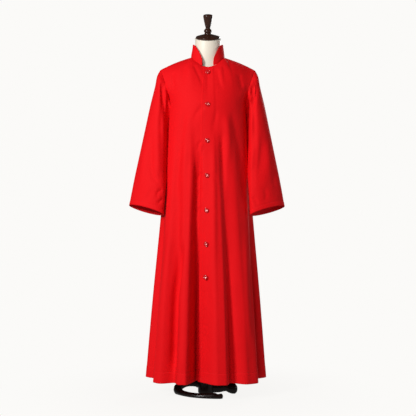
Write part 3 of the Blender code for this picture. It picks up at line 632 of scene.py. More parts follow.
def red_cloth():
    """Plain-weave polyester and wool, piece-dyed scarlet: matt, with a soft sheen where it turns away.
    The threads are 0.4 mm apart. They are drawn 1.6 mm apart, the finest that shows from 4 m away."""
    material, shader = new_material("scarlet_plain_weave", {
        "Metallic": 0.0, "IOR": 1.45, "Roughness": 0.75, "Specular IOR Level": 0.16,
        "Sheen Weight": 0.06, "Sheen Roughness": 0.45, "Sheen Tint": finish_colour("#ff4848"),
    })
    thread_turns = 2 * pi / (2 * DRAWN_THREAD_PITCH)
    cut = add_node(material, "TexCoord", {}, {}).outputs["UV"]
    apart = add_node(material, "SeparateXYZ", {}, {"Vector": cut}).outputs
    waves = []
    for axis in ("X", "Y"):
        scaled = add_node(material, "Math", {"operation": "MULTIPLY"}, {0: apart[axis], 1: thread_turns})
        wave = add_node(material, "Math", {"operation": "SINE"}, {0: scaled.outputs[0]})
        waves.append(wave.outputs[0])
    weave = add_node(material, "Math", {"operation": "MULTIPLY"}, {0: waves[0], 1: waves[1]}).outputs[0]
    slub = noise(material, cut, Scale=220.0, Detail=3.0)
    crumple = noise(material, cut, Scale=26.0, Detail=4.0, Roughness=0.5)
    soft = add_node(material, "Bump", {}, {
        "Height": crumple, "Strength": 0.35, "Distance": 0.004,
    }).outputs["Normal"]
    threads = add_node(material, "Math", {"operation": "ADD"}, {0: weave, 1: slub}).outputs[0]
    woven = add_node(material, "Bump", {}, {
        "Height": threads, "Strength": 0.22, "Distance": 0.0003, "Normal": soft,
    }).outputs["Normal"]
    uneven = noise(material, cut, Scale=7.0, Detail=5.0)
    dye = blend_colours(material, uneven, "#e90e16", "#de0a12")
    # Painted shade: the dye is darkened by up to 6% where the drawn weave dips between its threads.
    shade = add_node(material, "MapRange", {}, {
        "Value": weave, "From Min": -1.0, "From Max": 1.0, "To Min": 0.94, "To Max": 1.0,
    }).outputs["Result"]
    colour = add_node(material, "Mix", {"data_type": "RGBA", "blend_type": "MULTIPLY"}, {
        0: 1.0, 6: dye, 7: shade,
    }).outputs[2]
    links = material.node_tree.links
    links.new(colour, shader.inputs["Base Color"])
    links.new(woven, shader.inputs["Normal"])
    return material


def smooth(share):
    """A share from 0 to 1, eased at both ends."""
    share = np.clip(share, 0.0, 1.0)
    return share * share * (3 - 2 * share)


def between(low, high, share):
    """The value that lies this share of the way from low to high."""
    return low + (high - low) * share


def points_of(x, y, z):
    """Three arrays as one array of points."""
    return np.stack(np.broadcast_arrays(x, y, z), -1)


def plan_point(z, angle):
    """A point on the body's outline. 0 degrees is the front middle, 90 the garment's left side."""
    size = curve_through([s.z for s in BODY_SECTIONS], [s[1:] for s in BODY_SECTIONS], z)
    across, along = np.sin(np.radians(angle)), np.cos(np.radians(angle))
    power = 2 / SQUARENESS
    depth = np.where(along > 0, size[..., 1], size[..., 2])
    x = size[..., 0] * np.abs(across) ** power * np.sign(across)
    y = -depth * np.abs(along) ** power * np.sign(along)
    return points_of(x, y, z)


def top_point(angle):
    """The neckline, and past the neck point the shoulder seam."""
    side = np.where(angle > 0, 1.0, -1.0)
    turn = np.abs(angle)
    behind = turn > SIDE_SEAM_DEG
    turn = np.where(behind, 180 - turn, turn)
    around = np.radians(np.minimum(turn, NECK_POINT_DEG) / NECK_POINT_DEG * 90)
    end_z = np.where(behind, NECK_BACK_Z, NECK_FRONT_Z)
    y = NECK_DEPTH * np.cos(around) * np.where(behind, 1.0, -1.0)
    neckline = points_of(
        side * NECK_HALF_WIDTH * np.sin(around), y, between(NECK_SIDE_Z, end_z, np.cos(around) ** 2)
    )
    share = (turn - NECK_POINT_DEG) / (SIDE_SEAM_DEG - NECK_POINT_DEG)
    z = between(NECK_SIDE_Z, SHOULDER_TIP_Z, share) + SHOULDER_RISE * np.sin(pi * share)
    shoulder = points_of(side * between(NECK_HALF_WIDTH, SHOULDER_TIP_X, share), 0.0, z)
    return np.where((turn <= NECK_POINT_DEG)[..., None], neckline, shoulder)


def pull_point(angle, in_front):
    """The point that the cloth bends towards between the top line and the chest."""
    turn = np.abs(angle) if in_front else 180 - np.abs(angle)
    t = (turn / 90)[..., None]
    middle, half, end = np.array(FRONT_PULL if in_front else BACK_PULL)
    point = middle * (1 - t) * (1 - 2 * t) + half * 4 * t * (1 - t) + end * t * (2 * t - 1)
    point[..., 0] *= np.where(angle > 0, 1.0, -1.0)
    return point


def fold_depth(angle, z, first_share=1.0):
    """How far the folds push the cloth in, at an angle round the body and a height. The first fold, beside
    the front edge, may be drawn in by only a share of its depth."""
    total = np.zeros(np.shape(z))
    rise = np.minimum(1.0, (z - HEM_Z) / (CHEST_Z - HEM_Z))
    for fold in FOLDS:
        down = (fold.start_z - z) / (fold.start_z - HEM_Z)
        grown = smooth(down) * FOLD_EASE + np.maximum(0.0, down) * (1 - FOLD_EASE)
        trough = between(fold.hem_deg, fold.chest_deg, rise * rise)
        away = (angle - trough + 180) % 360 - 180
        share = np.clip(away / np.where(away < 0, fold.before_deg, fold.after_deg), -1, 1)
        depth = fold.depth * (first_share if fold is FOLDS[0] else 1.0)
        total += depth * grown * np.cos(pi / 2 * share) ** 2
    return total


def body_point(angle, level, in_front, first_share=1.0):
    """Points inside the body cloth. Levels run from 0 at the top, through 1 at the chest, to 2."""
    angle, level = np.broadcast_arrays(np.asarray(angle, float), np.asarray(level, float))
    hem = curve_through([p.turn_deg for p in HEM_LINE], [p.z for p in HEM_LINE], np.abs(angle))
    z = np.where(level > 1, between(CHEST_Z, hem, level - 1), CHEST_Z)
    low = plan_point(z, angle)
    t = np.minimum(level, 1.0)[..., None]
    point = top_point(angle) * (1 - t) ** 2 + pull_point(angle, in_front) * 2 * t * (1 - t) + low * t * t
    along = plan_point(z, angle + 1) - plan_point(z, angle - 1)
    along /= np.linalg.norm(along, axis=-1)[..., None]
    inward = points_of(-along[..., 1], along[..., 0], 0.0)
    return point + inward * fold_depth(angle, point[..., 2], first_share)[..., None]


def outward_of(rows, ring=False):
    """The outward unit normal at each point of rows that run down the cloth."""
    fall = np.gradient(rows, axis=0)
    if ring:
        along = np.roll(rows, -1, axis=1) - np.roll(rows, 1, axis=1)
    else:
        along = np.gradient(rows, axis=1)
    normal = np.cross(fall, along)
    return normal / np.maximum(np.linalg.norm(normal, axis=-1), 1e-12)[..., None]


def crease_push(across, up, creases):
    """How far the creases push the cloth in, at places given as (across, up)."""
    push = np.zeros(across.shape)
    for crease in creases:
        knots = np.array(crease.path)
        at = np.linspace(0, len(knots) - 1, CREASE_STEPS * len(knots))
        line = curve_through(np.arange(len(knots)), knots, at)
        reach = CREASE_REACH * crease.width
        near = (across > line[:, 0].min() - reach) & (across < line[:, 0].max() + reach)
        near &= (up > line[:, 1].min() - reach) & (up < line[:, 1].max() + reach)
        x, z = across[near], up[near]
        away, side, where = np.full(x.shape, 1e3), np.ones(x.shape), np.zeros(x.shape)
        pieces = len(line) - 1
        for k, (start, end) in enumerate(zip(line, line[1:])):
            dx, dz = end - start
            t = np.clip(((x - start[0]) * dx + (z - start[1]) * dz) / (dx * dx + dz * dz), 0, 1)
            off_x, off_z = x - start[0] - t * dx, z - start[1] - t * dz
            gap = np.hypot(off_x, off_z)
            closer = gap < away
            away = np.where(closer, gap, away)
            side = np.where(closer, np.sign(off_z * dx - off_x * dz), side)
            where = np.where(closer, (k + t) / pieces, where)
        width = crease.width * (1 + crease.lean * side)
        fade = smooth(where / crease.start) * smooth((1 - where) / crease.end)
        push[near] += crease.depth * fade * np.exp(-((away / width) ** 2))
    return push


def crease_cloth(rows, facing, creases, ring=False):
    """Presses the creases into the side of the cloth that faces -Y (facing -1) or +Y (facing 1)."""
    normal = outward_of(rows, ring)
    seen = smooth((normal[..., 1] * facing - 0.02) / 0.4)
    push = crease_push(rows[..., 0], rows[..., 2], creases) * seen
    return rows - normal * push[..., None]


def seam_pucker(distance, along, seam):
    """A seam's groove, with the small uneven puckers that its thread draws up."""
    pitch = seam.pucker_pitch
    drawn = 1 + 0.45 * np.sin(2 * pi * along / pitch + 1.7 * np.sin(along / pitch))
    return seam.depth * np.exp(-((distance / seam.reach) ** 2)) * drawn


def body_levels():
    """Levels of the body's rows: even down the cloth, and closer where the hem is stitched."""
    stitched = 2 - BODY_HEM.depth / (CHEST_Z - HEM_Z)
    skirt_rows = BODY_ROWS - YOKE_ROWS - STITCH_ROWS - HEM_ROWS
    return np.concatenate([
        np.linspace(SHOULDER_LEVEL, 1, YOKE_ROWS, endpoint=False),
        np.linspace(1, stitched - 1.5 * STITCH_BAND, skirt_rows),
        np.linspace(stitched - STITCH_BAND, stitched + STITCH_BAND, STITCH_ROWS),
        np.linspace(stitched + 1.75 * STITCH_BAND, 2, HEM_ROWS),
    ])


def hem_press(from_edge, hem):
    """The hem's groove at its line of stitches, and the fuller cloth below it."""
    groove = hem.groove * np.exp(-(((from_edge - hem.depth) / hem.groove_width) ** 2))
    return hem.fullness * smooth((hem.depth - from_edge) / CLOTH_EASE) - groove


def hang_panel(angles, in_front, creases, facing, lapped):
    """One panel of the body: its surface, the lap, its creases, its seams and its hem."""
    rows = body_point(angles[None, :], body_levels()[:, None], in_front, LAP_SHARE if lapped else 1.0)
    turn = np.broadcast_to(angles[None, :], rows.shape[:2])
    if lapped:
        eased = 1 - smooth((turn - LAP_DEG) / (LAP_END_DEG - LAP_DEG))
        rows = rows + outward_of(rows) * (LAP_LIFT * eased)[..., None]
    rows = crease_cloth(rows, facing, creases)
    length = np.linalg.norm(np.diff(rows, axis=0), axis=2).cumsum(0)
    length = np.concatenate([np.zeros((1, rows.shape[1])), length])
    from_side = np.abs(np.abs((turn + 180) % 360 - 180) - SIDE_SEAM_DEG) * SIDE_METRES_PER_DEG
    change = hem_press(length[-1] - length, BODY_HEM) - seam_pucker(from_side, length, SIDE_SEAM)
    if facing < 0:
        edge_turn = np.abs(turn - angles[0]) if lapped else np.abs(angles[-1] - turn)
        change += EDGE_FULLNESS * smooth((EDGE_WIDTH - edge_turn * EDGE_METRES_PER_DEG) / CLOTH_EASE)
    return rows + outward_of(rows) * change[..., None]


def sew_sheet(name, rows, ring, thickness):
    """The cloth skinned over its rows, with its wall outwards as the live Solidify makes it."""
    piece = skin_rows(name, rows, ring=ring, capped=False)
    wall = piece.modifiers.new("cloth", "SOLIDIFY")
    wall.thickness = thickness
    wall.offset = 1
    wall.use_even_offset = False
    return piece


scarlet = red_cloth()
left_angles = np.concatenate([
    np.linspace(-LAP_DEG, LAP_END_DEG, LAP_COLUMNS),
    np.linspace(LAP_END_DEG, SIDE_SEAM_DEG - SIDE_GAP_DEG, FRONT_COLUMNS - LAP_COLUMNS + 1)[1:],
])
back_angles = np.linspace(SIDE_SEAM_DEG + SIDE_GAP_DEG, 360 - SIDE_SEAM_DEG - SIDE_GAP_DEG, BACK_COLUMNS)
back_angles = np.where(back_angles > 180, back_angles - 360, back_angles)
panel_rows = {
    "front_right": hang_panel(-left_angles[::-1], True, FRONT_CREASES, -1, False),
    "front_left": hang_panel(left_angles, True, FRONT_CREASES, -1, True),
    "back": hang_panel(back_angles, False, BACK_CREASES, 1, False),
}
sheets = {}
for node, rows in panel_rows.items():
    sheets[node] = sew_sheet(node + "_panel", rows, False, CLOTH)
    finish_piece(sheets[node], scarlet, "cloth", node)

# ---------------------------------------------------------------------------------------------------------
# Two bell sleeves. Each is cut in one piece from the same cloth, sewn into a tube along the underarm, eased
# into the armhole and hemmed at the wide cuff. They hang empty, a little in front of the body.
# ---------------------------------------------------------------------------------------------------------
SleeveRing = namedtuple("SleeveRing", "outer inner front back raised")
SLEEVE_RINGS = (
    SleeveRing((0.2150, -0.001, 1.363), (0.1615, -0.014, 1.227), 0.047, 0.047, 0.000),
    SleeveRing((0.2240, -0.002, 1.318), (0.1640, -0.024, 1.202), 0.050, 0.050, 0.001),
    SleeveRing((0.2440, -0.006, 1.234), (0.1675, -0.034, 1.140), 0.050, 0.048, 0.002),
    SleeveRing((0.2655, -0.010, 1.131), (0.1695, -0.046, 1.050), 0.047, 0.045, 0.004),
    SleeveRing((0.2870, -0.014, 1.028), (0.1715, -0.062, 0.955), 0.044, 0.042, 0.006),
    SleeveRing((0.3105, -0.018, 0.915), (0.1765, -0.080, 0.862), 0.042, 0.040, 0.009),
    SleeveRing((0.3310, -0.022, 0.804), (0.1830, -0.084, 0.766), 0.041, 0.038, 0.012),
)
SleeveFold = namedtuple("SleeveFold", "top_deg cuff_deg top_depth cuff_depth spread_deg")
SLEEVE_FOLDS = (
    SleeveFold(72, 150, 0.013, 0.000, 26),
    SleeveFold(118, 176, 0.009, 0.000, 22),
    SleeveFold(265, 205, 0.011, 0.002, 28),
)
SLEEVE_COLUMNS = 132
SLEEVE_ROWS = 150
CUFF_ROWS = (0.030, 0.024, 0.0215, 0.020, 0.0185, 0.016, 0.010, 0.005, 0.0)
LAST_EVEN_ROW = 0.034
COLUMN_PITCH = 0.004
TURNED_FORWARD = 0.3
NEXT_TO_SHOULDER = 0.001
SLEEVE_CORE = 0.02
RIGHT_SLEEVE_CREASES = (
    Crease(
        ((-0.199, 1.340), (-0.194, 1.275), (-0.180, 1.176), (-0.166, 1.070)),
        0.008, 0.0075, 0.2, 0.2, 0.4,
    ),
    Crease(((-0.174, 1.262), (-0.165, 1.215), (-0.158, 1.170)), 0.006, 0.0030, 0.0, 0.3, 0.4),
    Crease(
        ((-0.231, 1.150), (-0.236, 1.020), (-0.227, 0.930), (-0.190, 0.884)),
        0.012, 0.0052, -0.2, 0.4, 0.3,
    ),
    Crease(((-0.206, 1.140), (-0.204, 1.000), (-0.200, 0.920)), 0.013, -0.0040, 0.0, 0.3, 0.4),
    Crease(((-0.262, 1.080), (-0.272, 0.960), (-0.282, 0.860)), 0.014, -0.0034, 0.0, 0.3, 0.4),
    Crease(((-0.184, 0.874), (-0.205, 0.860), (-0.214, 0.826)), 0.007, 0.0040, 0.0, 0.2, 0.5),
    Crease(((-0.180, 0.838), (-0.196, 0.822), (-0.216, 0.806)), 0.007, 0.0044, 0.0, 0.2, 0.5),
    Crease(((-0.232, 0.880), (-0.246, 0.840), (-0.262, 0.815)), 0.010, 0.0020, 0.0, 0.3, 0.5),
)
LEFT_SLEEVE_CREASES = (
    Crease(((0.210, 1.346), (0.207, 1.289), (0.193, 1.226), (0.180, 1.150)), 0.009, 0.0080, -0.2, 0.2, 0.4),
    Crease(((0.208, 1.354), (0.192, 1.300), (0.175, 1.250), (0.166, 1.180)), 0.008, 0.0050, 0.0, 0.15, 0.4),
    Crease(((0.190, 1.130), (0.186, 1.060), (0.182, 0.985)), 0.009, 0.0038, 0.0, 0.3, 0.5),
    Crease(((0.198, 1.080), (0.190, 0.990), (0.186, 0.940)), 0.010, -0.0034, 0.0, 0.3, 0.5),
    Crease(((0.234, 1.140), (0.229, 1.040), (0.219, 0.945), (0.215, 0.880)), 0.015, 0.0050, 0.2, 0.4, 0.5),
    Crease(((0.252, 1.100), (0.258, 0.990), (0.262, 0.900)), 0.014, -0.0034, 0.0, 0.3, 0.5),
    Crease(((0.238, 0.885), (0.248, 0.850), (0.240, 0.815)), 0.009, 0.0026, 0.0, 0.3, 0.5),
    Crease(((0.188, 0.850), (0.206, 0.824), (0.214, 0.800)), 0.008, 0.0030, 0.0, 0.3, 0.5),
    Crease(((0.280, 0.960), (0.286, 0.900), (0.300, 0.840)), 0.012, 0.0024, 0.0, 0.3, 0.5),
)
# Where each sleeve falls back beside the body, with the same fields.
RIGHT_SLEEVE_HOLLOW = Crease(
    ((-0.180, 1.300), (-0.171, 1.220), (-0.167, 1.100), (-0.167, 0.960), (-0.170, 0.840)),
    0.0130, 0.024, 0.0, 0.4, 0.3,
)
LEFT_SLEEVE_HOLLOW = Crease(
    ((0.178, 1.275), (0.171, 1.205), (0.168, 1.100), (0.167, 0.980), (0.170, 0.860)),
    0.0100, 0.042, 0.0, 0.25, 0.5,
)
SLEEVE_BACK_CREASES = (
    Crease(((0.214, 1.340), (0.212, 1.260), (0.206, 1.170)), 0.010, 0.0050, 0.0, 0.2, 0.5),
    Crease(((0.196, 1.250), (0.204, 1.140), (0.214, 1.040)), 0.011, 0.0042, 0.0, 0.3, 0.5),
    Crease(((0.236, 1.150), (0.246, 1.020), (0.262, 0.900)), 0.013, 0.0044, 0.0, 0.4, 0.5),
    Crease(((0.214, 0.960), (0.230, 0.880), (0.250, 0.820)), 0.011, 0.0034, 0.0, 0.3, 0.5),
)


def armhole_row(turns):
    """The armhole's edge. 0 degrees is the shoulder tip, 90 the front, 180 the underarm."""
    in_front = body_point(SIDE_SEAM_DEG, np.maximum(turns / 180, NEXT_TO_SHOULDER), True)
    behind = body_point(SIDE_SEAM_DEG, np.maximum((360 - turns) / 180, NEXT_TO_SHOULDER), False)
    row = np.where((turns <= 180)[:, None], in_front, behind)
    row[:, 0] -= SEAM_GAP
    return row


def sleeve_row(ring, turns, share, tuck):
    """One ring of the sleeve, with its folds drawn in. The tuck moves the inner edge towards the middle
    of the garment and forwards, less and less towards the cuff."""
    outer, inner = np.array(ring.outer), np.array(ring.inner)
    inner[:2] -= tuck * (1 - share)
    middle, half = (outer + inner) / 2, (outer - inner) / 2
    ahead = np.sin(np.radians(turns))
    depth = np.where(ahead > 0, ring.front, ring.back)
    out = half * np.cos(np.radians(turns))[:, None]
    out[:, 1] -= depth * ahead
    drawn = np.zeros(len(turns))
    for fold in SLEEVE_FOLDS:
        away = (turns - between(fold.top_deg, fold.cuff_deg, share) + 180) % 360 - 180
        inside = np.clip(away / fold.spread_deg, -1, 1)
        drawn += between(fold.top_depth, fold.cuff_depth, share) * np.cos(pi / 2 * inside) ** 2
    out *= (1 - drawn / np.maximum(np.linalg.norm(out, axis=1), SLEEVE_CORE))[:, None]
    row = middle + out
    row[:, 2] += ring.raised * ahead
    return row


def hang_sleeve(side, front_creases, back_creases, hollow, tuck):
    """One sleeve, on the garment's left (side 1) or right (side -1), with its creases, hollow and seams."""
    turns = 360 * np.arange(SLEEVE_COLUMNS) / SLEEVE_COLUMNS
    rings = [armhole_row(turns)]
    for k, ring in enumerate(SLEEVE_RINGS, 1):
        rings.append(sleeve_row(ring, turns, k / len(SLEEVE_RINGS), tuck))
    rings = np.array(rings)
    steps = np.linalg.norm(np.diff(rings, axis=0), axis=2).mean(1)
    keys = np.concatenate([[0.0], steps.cumsum()])
    even = np.linspace(0, keys[-1] - LAST_EVEN_ROW, SLEEVE_ROWS - len(CUFF_ROWS))
    at = np.concatenate([even, keys[-1] - np.array(CUFF_ROWS)])
    rows = curve_through(keys, rings, at)
    rows[..., 0] *= side
    if side > 0:
        rows = rows[:, ::-1]
    rows = crease_cloth(rows, -1, front_creases, ring=True)
    rows = crease_cloth(rows, 1, back_creases, ring=True)
    in_front = smooth((TURNED_FORWARD - outward_of(rows, ring=True)[..., 1]) / TURNED_FORWARD)
    rows[..., 1] += crease_push(rows[..., 0], rows[..., 2], [hollow]) * in_front
    from_top = at[:, None] * np.ones(SLEEVE_COLUMNS)
    around = np.arange(SLEEVE_COLUMNS)[None, :] * COLUMN_PITCH
    change = hem_press(keys[-1] - from_top, CUFF_HEM) - seam_pucker(from_top, around, SLEEVE_HEAD_SEAM)
    change[0] = 0
    return rows + outward_of(rows, ring=True) * change[..., None]


mirrored = [c._replace(path=tuple((-x, z) for x, z in c.path)) for c in SLEEVE_BACK_CREASES]
sleeve_rows = {
    "sleeve_right": hang_sleeve(-1, RIGHT_SLEEVE_CREASES, mirrored, RIGHT_SLEEVE_HOLLOW, tuck=0.008),
    "sleeve_left": hang_sleeve(1, LEFT_SLEEVE_CREASES, SLEEVE_BACK_CREASES, LEFT_SLEEVE_HOLLOW, tuck=0.0),
}
for node, rows in sleeve_rows.items():
    sheets[node] = sew_sheet(node + "_tube", rows, True, CLOTH)
    finish_piece(sheets[node], scarlet, "cloth", node)

# ---------------------------------------------------------------------------------------------------------
# Standing collar. One stiff band, thicker than the body's cloth, sewn round the neckline and open at the
# front, where its two corners are rounded off. Its edge is pressed and stitched all round.
# ---------------------------------------------------------------------------------------------------------
COLLAR_HEIGHT = 0.049
COLLAR_FRONT_RISE = 0.008
COLLAR_CORNER = 0.044
COLLAR_OPEN_DEG = 19.5
COLLAR_RADIUS = 0.068
COLLAR_TAPER = 0.11
COLLAR_LEAN = 0.004
COLLAR_THICKNESS = 0.0022
COLLAR_ROWS = 16
COLLAR_CORNER_COLUMNS = 28
COLLAR_BAND_COLUMNS = 110
COLLAR_RISE_END_DEG = 100
COLLAR_RISE_DEG = 40
COLLAR_METRES_PER_DEG = 0.0012
COLLAR_EDGE_ROLL = 0.0007
COLLAR_EDGE_WIDTH = 0.010
COLLAR_WAVE = 0.0007
COLLAR_WAVES = 5
COLLAR_STIFF_BASE = 0.03


def shape_collar():
    """The collar's band, as rows from its upper edge down to the neckline."""
    corner = np.degrees(COLLAR_CORNER / COLLAR_RADIUS)
    bend = np.linspace(0, pi / 2, COLLAR_CORNER_COLUMNS, endpoint=False)
    first = COLLAR_OPEN_DEG + corner
    front = COLLAR_OPEN_DEG + corner * (1 - np.cos(bend))
    band = np.linspace(first, 360 - first, COLLAR_BAND_COLUMNS)
    turns = np.concatenate([front, band, 360 - front[::-1]])
    from_front = np.minimum(turns, 360 - turns)
    rise = smooth((COLLAR_RISE_END_DEG - from_front) / COLLAR_RISE_DEG)
    height = COLLAR_HEIGHT + COLLAR_FRONT_RISE * rise
    reach = np.minimum(COLLAR_RADIUS * np.radians(from_front - COLLAR_OPEN_DEG), COLLAR_CORNER)
    height += np.sqrt(COLLAR_CORNER ** 2 - (COLLAR_CORNER - reach) ** 2) - COLLAR_CORNER
    up = height[None, :] * np.linspace(1, 0, COLLAR_ROWS)[:, None]
    flat = (turns + 180) % 360 - 180
    side = np.where(flat > 0, 1.0, -1.0)
    angle = side * np.where(np.abs(flat) <= 90, np.abs(flat) / 2, 90 + np.abs(flat) / 2)
    base = top_point(angle)[None]
    share = up / COLLAR_HEIGHT
    x = base[..., 0] * (1 - COLLAR_TAPER * share)
    y = base[..., 1] * (1 - COLLAR_TAPER * share) - COLLAR_LEAN * share
    rows = points_of(x, y, base[..., 2] + CLOTH + 2 * SEAM_GAP + up)
    sewn = seam_pucker(up, turns[None, :] * COLLAR_METRES_PER_DEG, COLLAR_SEAM)
    rolled = COLLAR_EDGE_ROLL * smooth((up - height[None, :]) / COLLAR_EDGE_WIDTH + 1)
    waved = COLLAR_WAVE * np.sin(np.radians(turns * COLLAR_WAVES))[None, :] * smooth(up / COLLAR_STIFF_BASE)
    return rows + outward_of(rows) * (rolled + waved - sewn)[..., None]


collar_rows = shape_collar()
collar = sheets["collar"] = sew_sheet("collar_band", collar_rows, False, COLLAR_THICKNESS)
softened = collar.modifiers.new("pressed_edge", "BEVEL")
softened.width = 0.0007
softened.segments = 2
softened.limit_method = "ANGLE"
softened.angle_limit = radians(50)
finish_piece(collar, scarlet, "cloth", "collar")

# ---------------------------------------------------------------------------------------------------------
# Lines of stitching. Each is a row of lockstitches in matching thread, 3 mm apart, which holds the hem, the
# cuffs, the front edge or the collar's edge, and lies in the groove that it draws into the cloth.
# ---------------------------------------------------------------------------------------------------------
STITCH_PITCH = 0.0030
STITCH_LENGTH = 0.0022
THREAD = 0.00028
SPINDLE = ((-0.5, 0.45), (0.0, 1.0), (0.5, 0.45))
SPINDLE_DIP = 0.9
SPINDLE_SIDES = 4
STEP_ALONG = 0.001
FRONT_EDGE_COLUMN = 5
COLLAR_EDGE_COLUMN = 2


def thread_material():
    """Spun polyester thread a shade deeper than the cloth, with a faint gloss and the twist of its ply."""
    material, shader = new_material("scarlet_polyester_thread", {
        "Metallic": 0.0, "IOR": 1.5, "Roughness": 0.5, "Sheen Weight": 0.1,
    })
    place = add_node(material, "TexCoord", {}, {}).outputs["Object"]
    ply = noise(material, place, Scale=900.0)
    colour = blend_colours(material, ply, "#cf0f18", "#b00a12")
    material.node_tree.links.new(colour, shader.inputs["Base Color"])
    return material


def sew_line(name, path, normals, lift):
    """A row of stitches along a path, each a small four-sided spindle that dips in at both ends."""
    steps = np.linalg.norm(np.diff(path, axis=0), axis=1)
    keys = np.concatenate([[0.0], steps.cumsum()])
    middles = np.arange(STITCH_PITCH, keys[-1] - STITCH_PITCH, STITCH_PITCH)

    def read(values, at):
        return np.stack([np.interp(at, keys, values[:, k]) for k in range(3)], 1)

    centre = read(path, middles)
    along = read(path, middles + STEP_ALONG) - read(path, middles - STEP_ALONG)
    along /= np.linalg.norm(along, axis=1)[:, None]
    out = read(normals, middles)
    out -= along * (out * along).sum(1)[:, None]
    out /= np.linalg.norm(out, axis=1)[:, None]
    aside = np.cross(along, out)
    centre = centre + out * lift
    rings = []
    for place, size in SPINDLE:
        for k in range(SPINDLE_SIDES):
            turn = pi / 2 * k + pi / 4
            rings.append(
                centre + along * STITCH_LENGTH * place
                + (aside * cos(turn) + out * (sin(turn) - SPINDLE_DIP * (1 - size))) * THREAD * size
            )
    points = np.stack(rings, 1)
    one = [(3, 2, 1, 0), (8, 9, 10, 11)]
    for ring in (0, SPINDLE_SIDES):
        for k in range(SPINDLE_SIDES):
            after = (k + 1) % SPINDLE_SIDES
            above = ring + SPINDLE_SIDES
            one.append((ring + k, ring + after, above + after, above + k))
    corners = SPINDLE_SIDES * len(SPINDLE)
    faces = (np.arange(len(points))[:, None, None] * corners + np.array(one)[None]).reshape(-1, 4)
    mesh = bpy.data.meshes.new(name)
    mesh.from_pydata(points.reshape(-1, 3).tolist(), [], faces.tolist())
    mesh.shade_smooth()
    return finish_piece(place_piece(name, mesh), thread, "cloth")


def row_from_end(rows, distance):
    """The index of the row that is this far up from the rows' last one."""
    length = np.linalg.norm(np.diff(rows, axis=0), axis=2).mean(1)[::-1].cumsum()
    return len(rows) - 2 - int(np.abs(length - distance).argmin())


thread = thread_material()
stitched = {node: [] for node in sheets}
for node, rows in panel_rows.items():
    at = row_from_end(rows, BODY_HEM.depth)
    stitched[node].append(sew_line(node + "_hem_stitches", rows[at], outward_of(rows)[at], CLOTH))
edge = panel_rows["front_left"]
edge_out = outward_of(edge)
stitched["front_left"].append(
    sew_line("front_edge_stitches", edge[:, FRONT_EDGE_COLUMN], edge_out[:, FRONT_EDGE_COLUMN], CLOTH)
)
for node, rows in sleeve_rows.items():
    at = row_from_end(rows, CUFF_HEM.depth)
    path = np.concatenate([rows[at], rows[at, :1]])
    normals = outward_of(rows, ring=True)[at]
    normals = np.concatenate([normals, normals[:1]])
    stitched[node].append(sew_line(node + "_cuff_stitches", path, normals, CLOTH))


def collar_edge_of(values):
    """The values up one end of the collar, along its upper edge and down its other end."""
    near, inner = COLLAR_EDGE_COLUMN, COLLAR_EDGE_COLUMN + 1
    return np.concatenate([values[:, near][::-1], values[1, inner:-inner], values[:, -inner]])


stitched["collar"].append(sew_line(
    "collar_edge_stitches", collar_edge_of(collar_rows), collar_edge_of(outward_of(collar_rows)),
    COLLAR_THICKNESS,
))

# ---------------------------------------------------------------------------------------------------------
# Seven buttons. Each is moulded in polished red resin, 20 mm across, with a rolled rim and a boat-shaped
# hollow that its thread lies along. They are sewn on at several angles.
# ---------------------------------------------------------------------------------------------------------
BUTTON_HEIGHTS = (1.366, 1.228, 1.076, 0.931, 0.786, 0.647, 0.510)
BUTTON_TURNS_DEG = (0, 0, -15, -40, -55, -80, -90)
BUTTON_RADIUS = 0.010
BUTTON_THICKNESS = 0.0034
BUTTON_SHANK = 0.0008
BUTTON_REACH_DEG = 3.5
PATCH_LEVELS = 0.02
BUTTON_PROFILE = (
    (0.0070, -0.0017), (0.0088, -0.0016), (0.0097, -0.0009), (0.0100, 0.0001), (0.0098, 0.0011),
    (0.0091, 0.0017), (0.0082, 0.0016), (0.0076, 0.0008), (0.0070, 0.0004), (0.0062, 0.0008),
    (0.0052, 0.0015), (0.0040, 0.0018), (0.0026, 0.0018), (0.0012, 0.0018),
)
BUTTON_HOLLOW = 0.0013
BUTTON_HOLLOW_WIDTH = 0.0026
BUTTON_HOLLOW_RADIUS = 0.0066
BUTTON_HOLLOW_EASE = 0.0020
BUTTON_THREAD_RADIUS = 0.0005
BUTTON_THREAD_LENGTH = 0.0046
BUTTON_THREAD_HEIGHT = 0.0004


def resin_material():
    """Polyester resin, cast red and tumble-polished: a hard gloss with small sharp highlights, and faint
    clouding in its depth."""
    material, shader = new_material("polished_red_resin", {
        "Metallic": 0.0, "IOR": 1.5, "Roughness": 0.24, "Specular IOR Level": 0.35, "Coat Weight": 0.5,
        "Coat Roughness": 0.14, "Coat IOR": 1.6,
    })
    place = add_node(material, "TexCoord", {}, {}).outputs["Object"]
    cloud = noise(material, place, Scale=260.0, Detail=2.0)
    colour = blend_colours(material, cloud, "#cc0a12", "#b0070e")
    material.node_tree.links.new(colour, shader.inputs["Base Color"])
    return material


def front_point(angle, level):
    """A point of the left front where it laps over the right one, and its outward normal."""
    step = np.array([[-0.5], [0.0], [0.5]])
    patch = body_point(angle + step.T, level + step * PATCH_LEVELS, True, LAP_SHARE)
    normal = outward_of(patch)[1, 1]
    return patch[1, 1] + normal * LAP_LIFT, normal


def level_at(height):
    """The level down the front middle at which the cloth is at this height."""
    levels = np.linspace(0.01, 2, 4000)
    heights = body_point(0.0, levels, True)[:, 2]
    return float(np.interp(-height, -heights, levels))


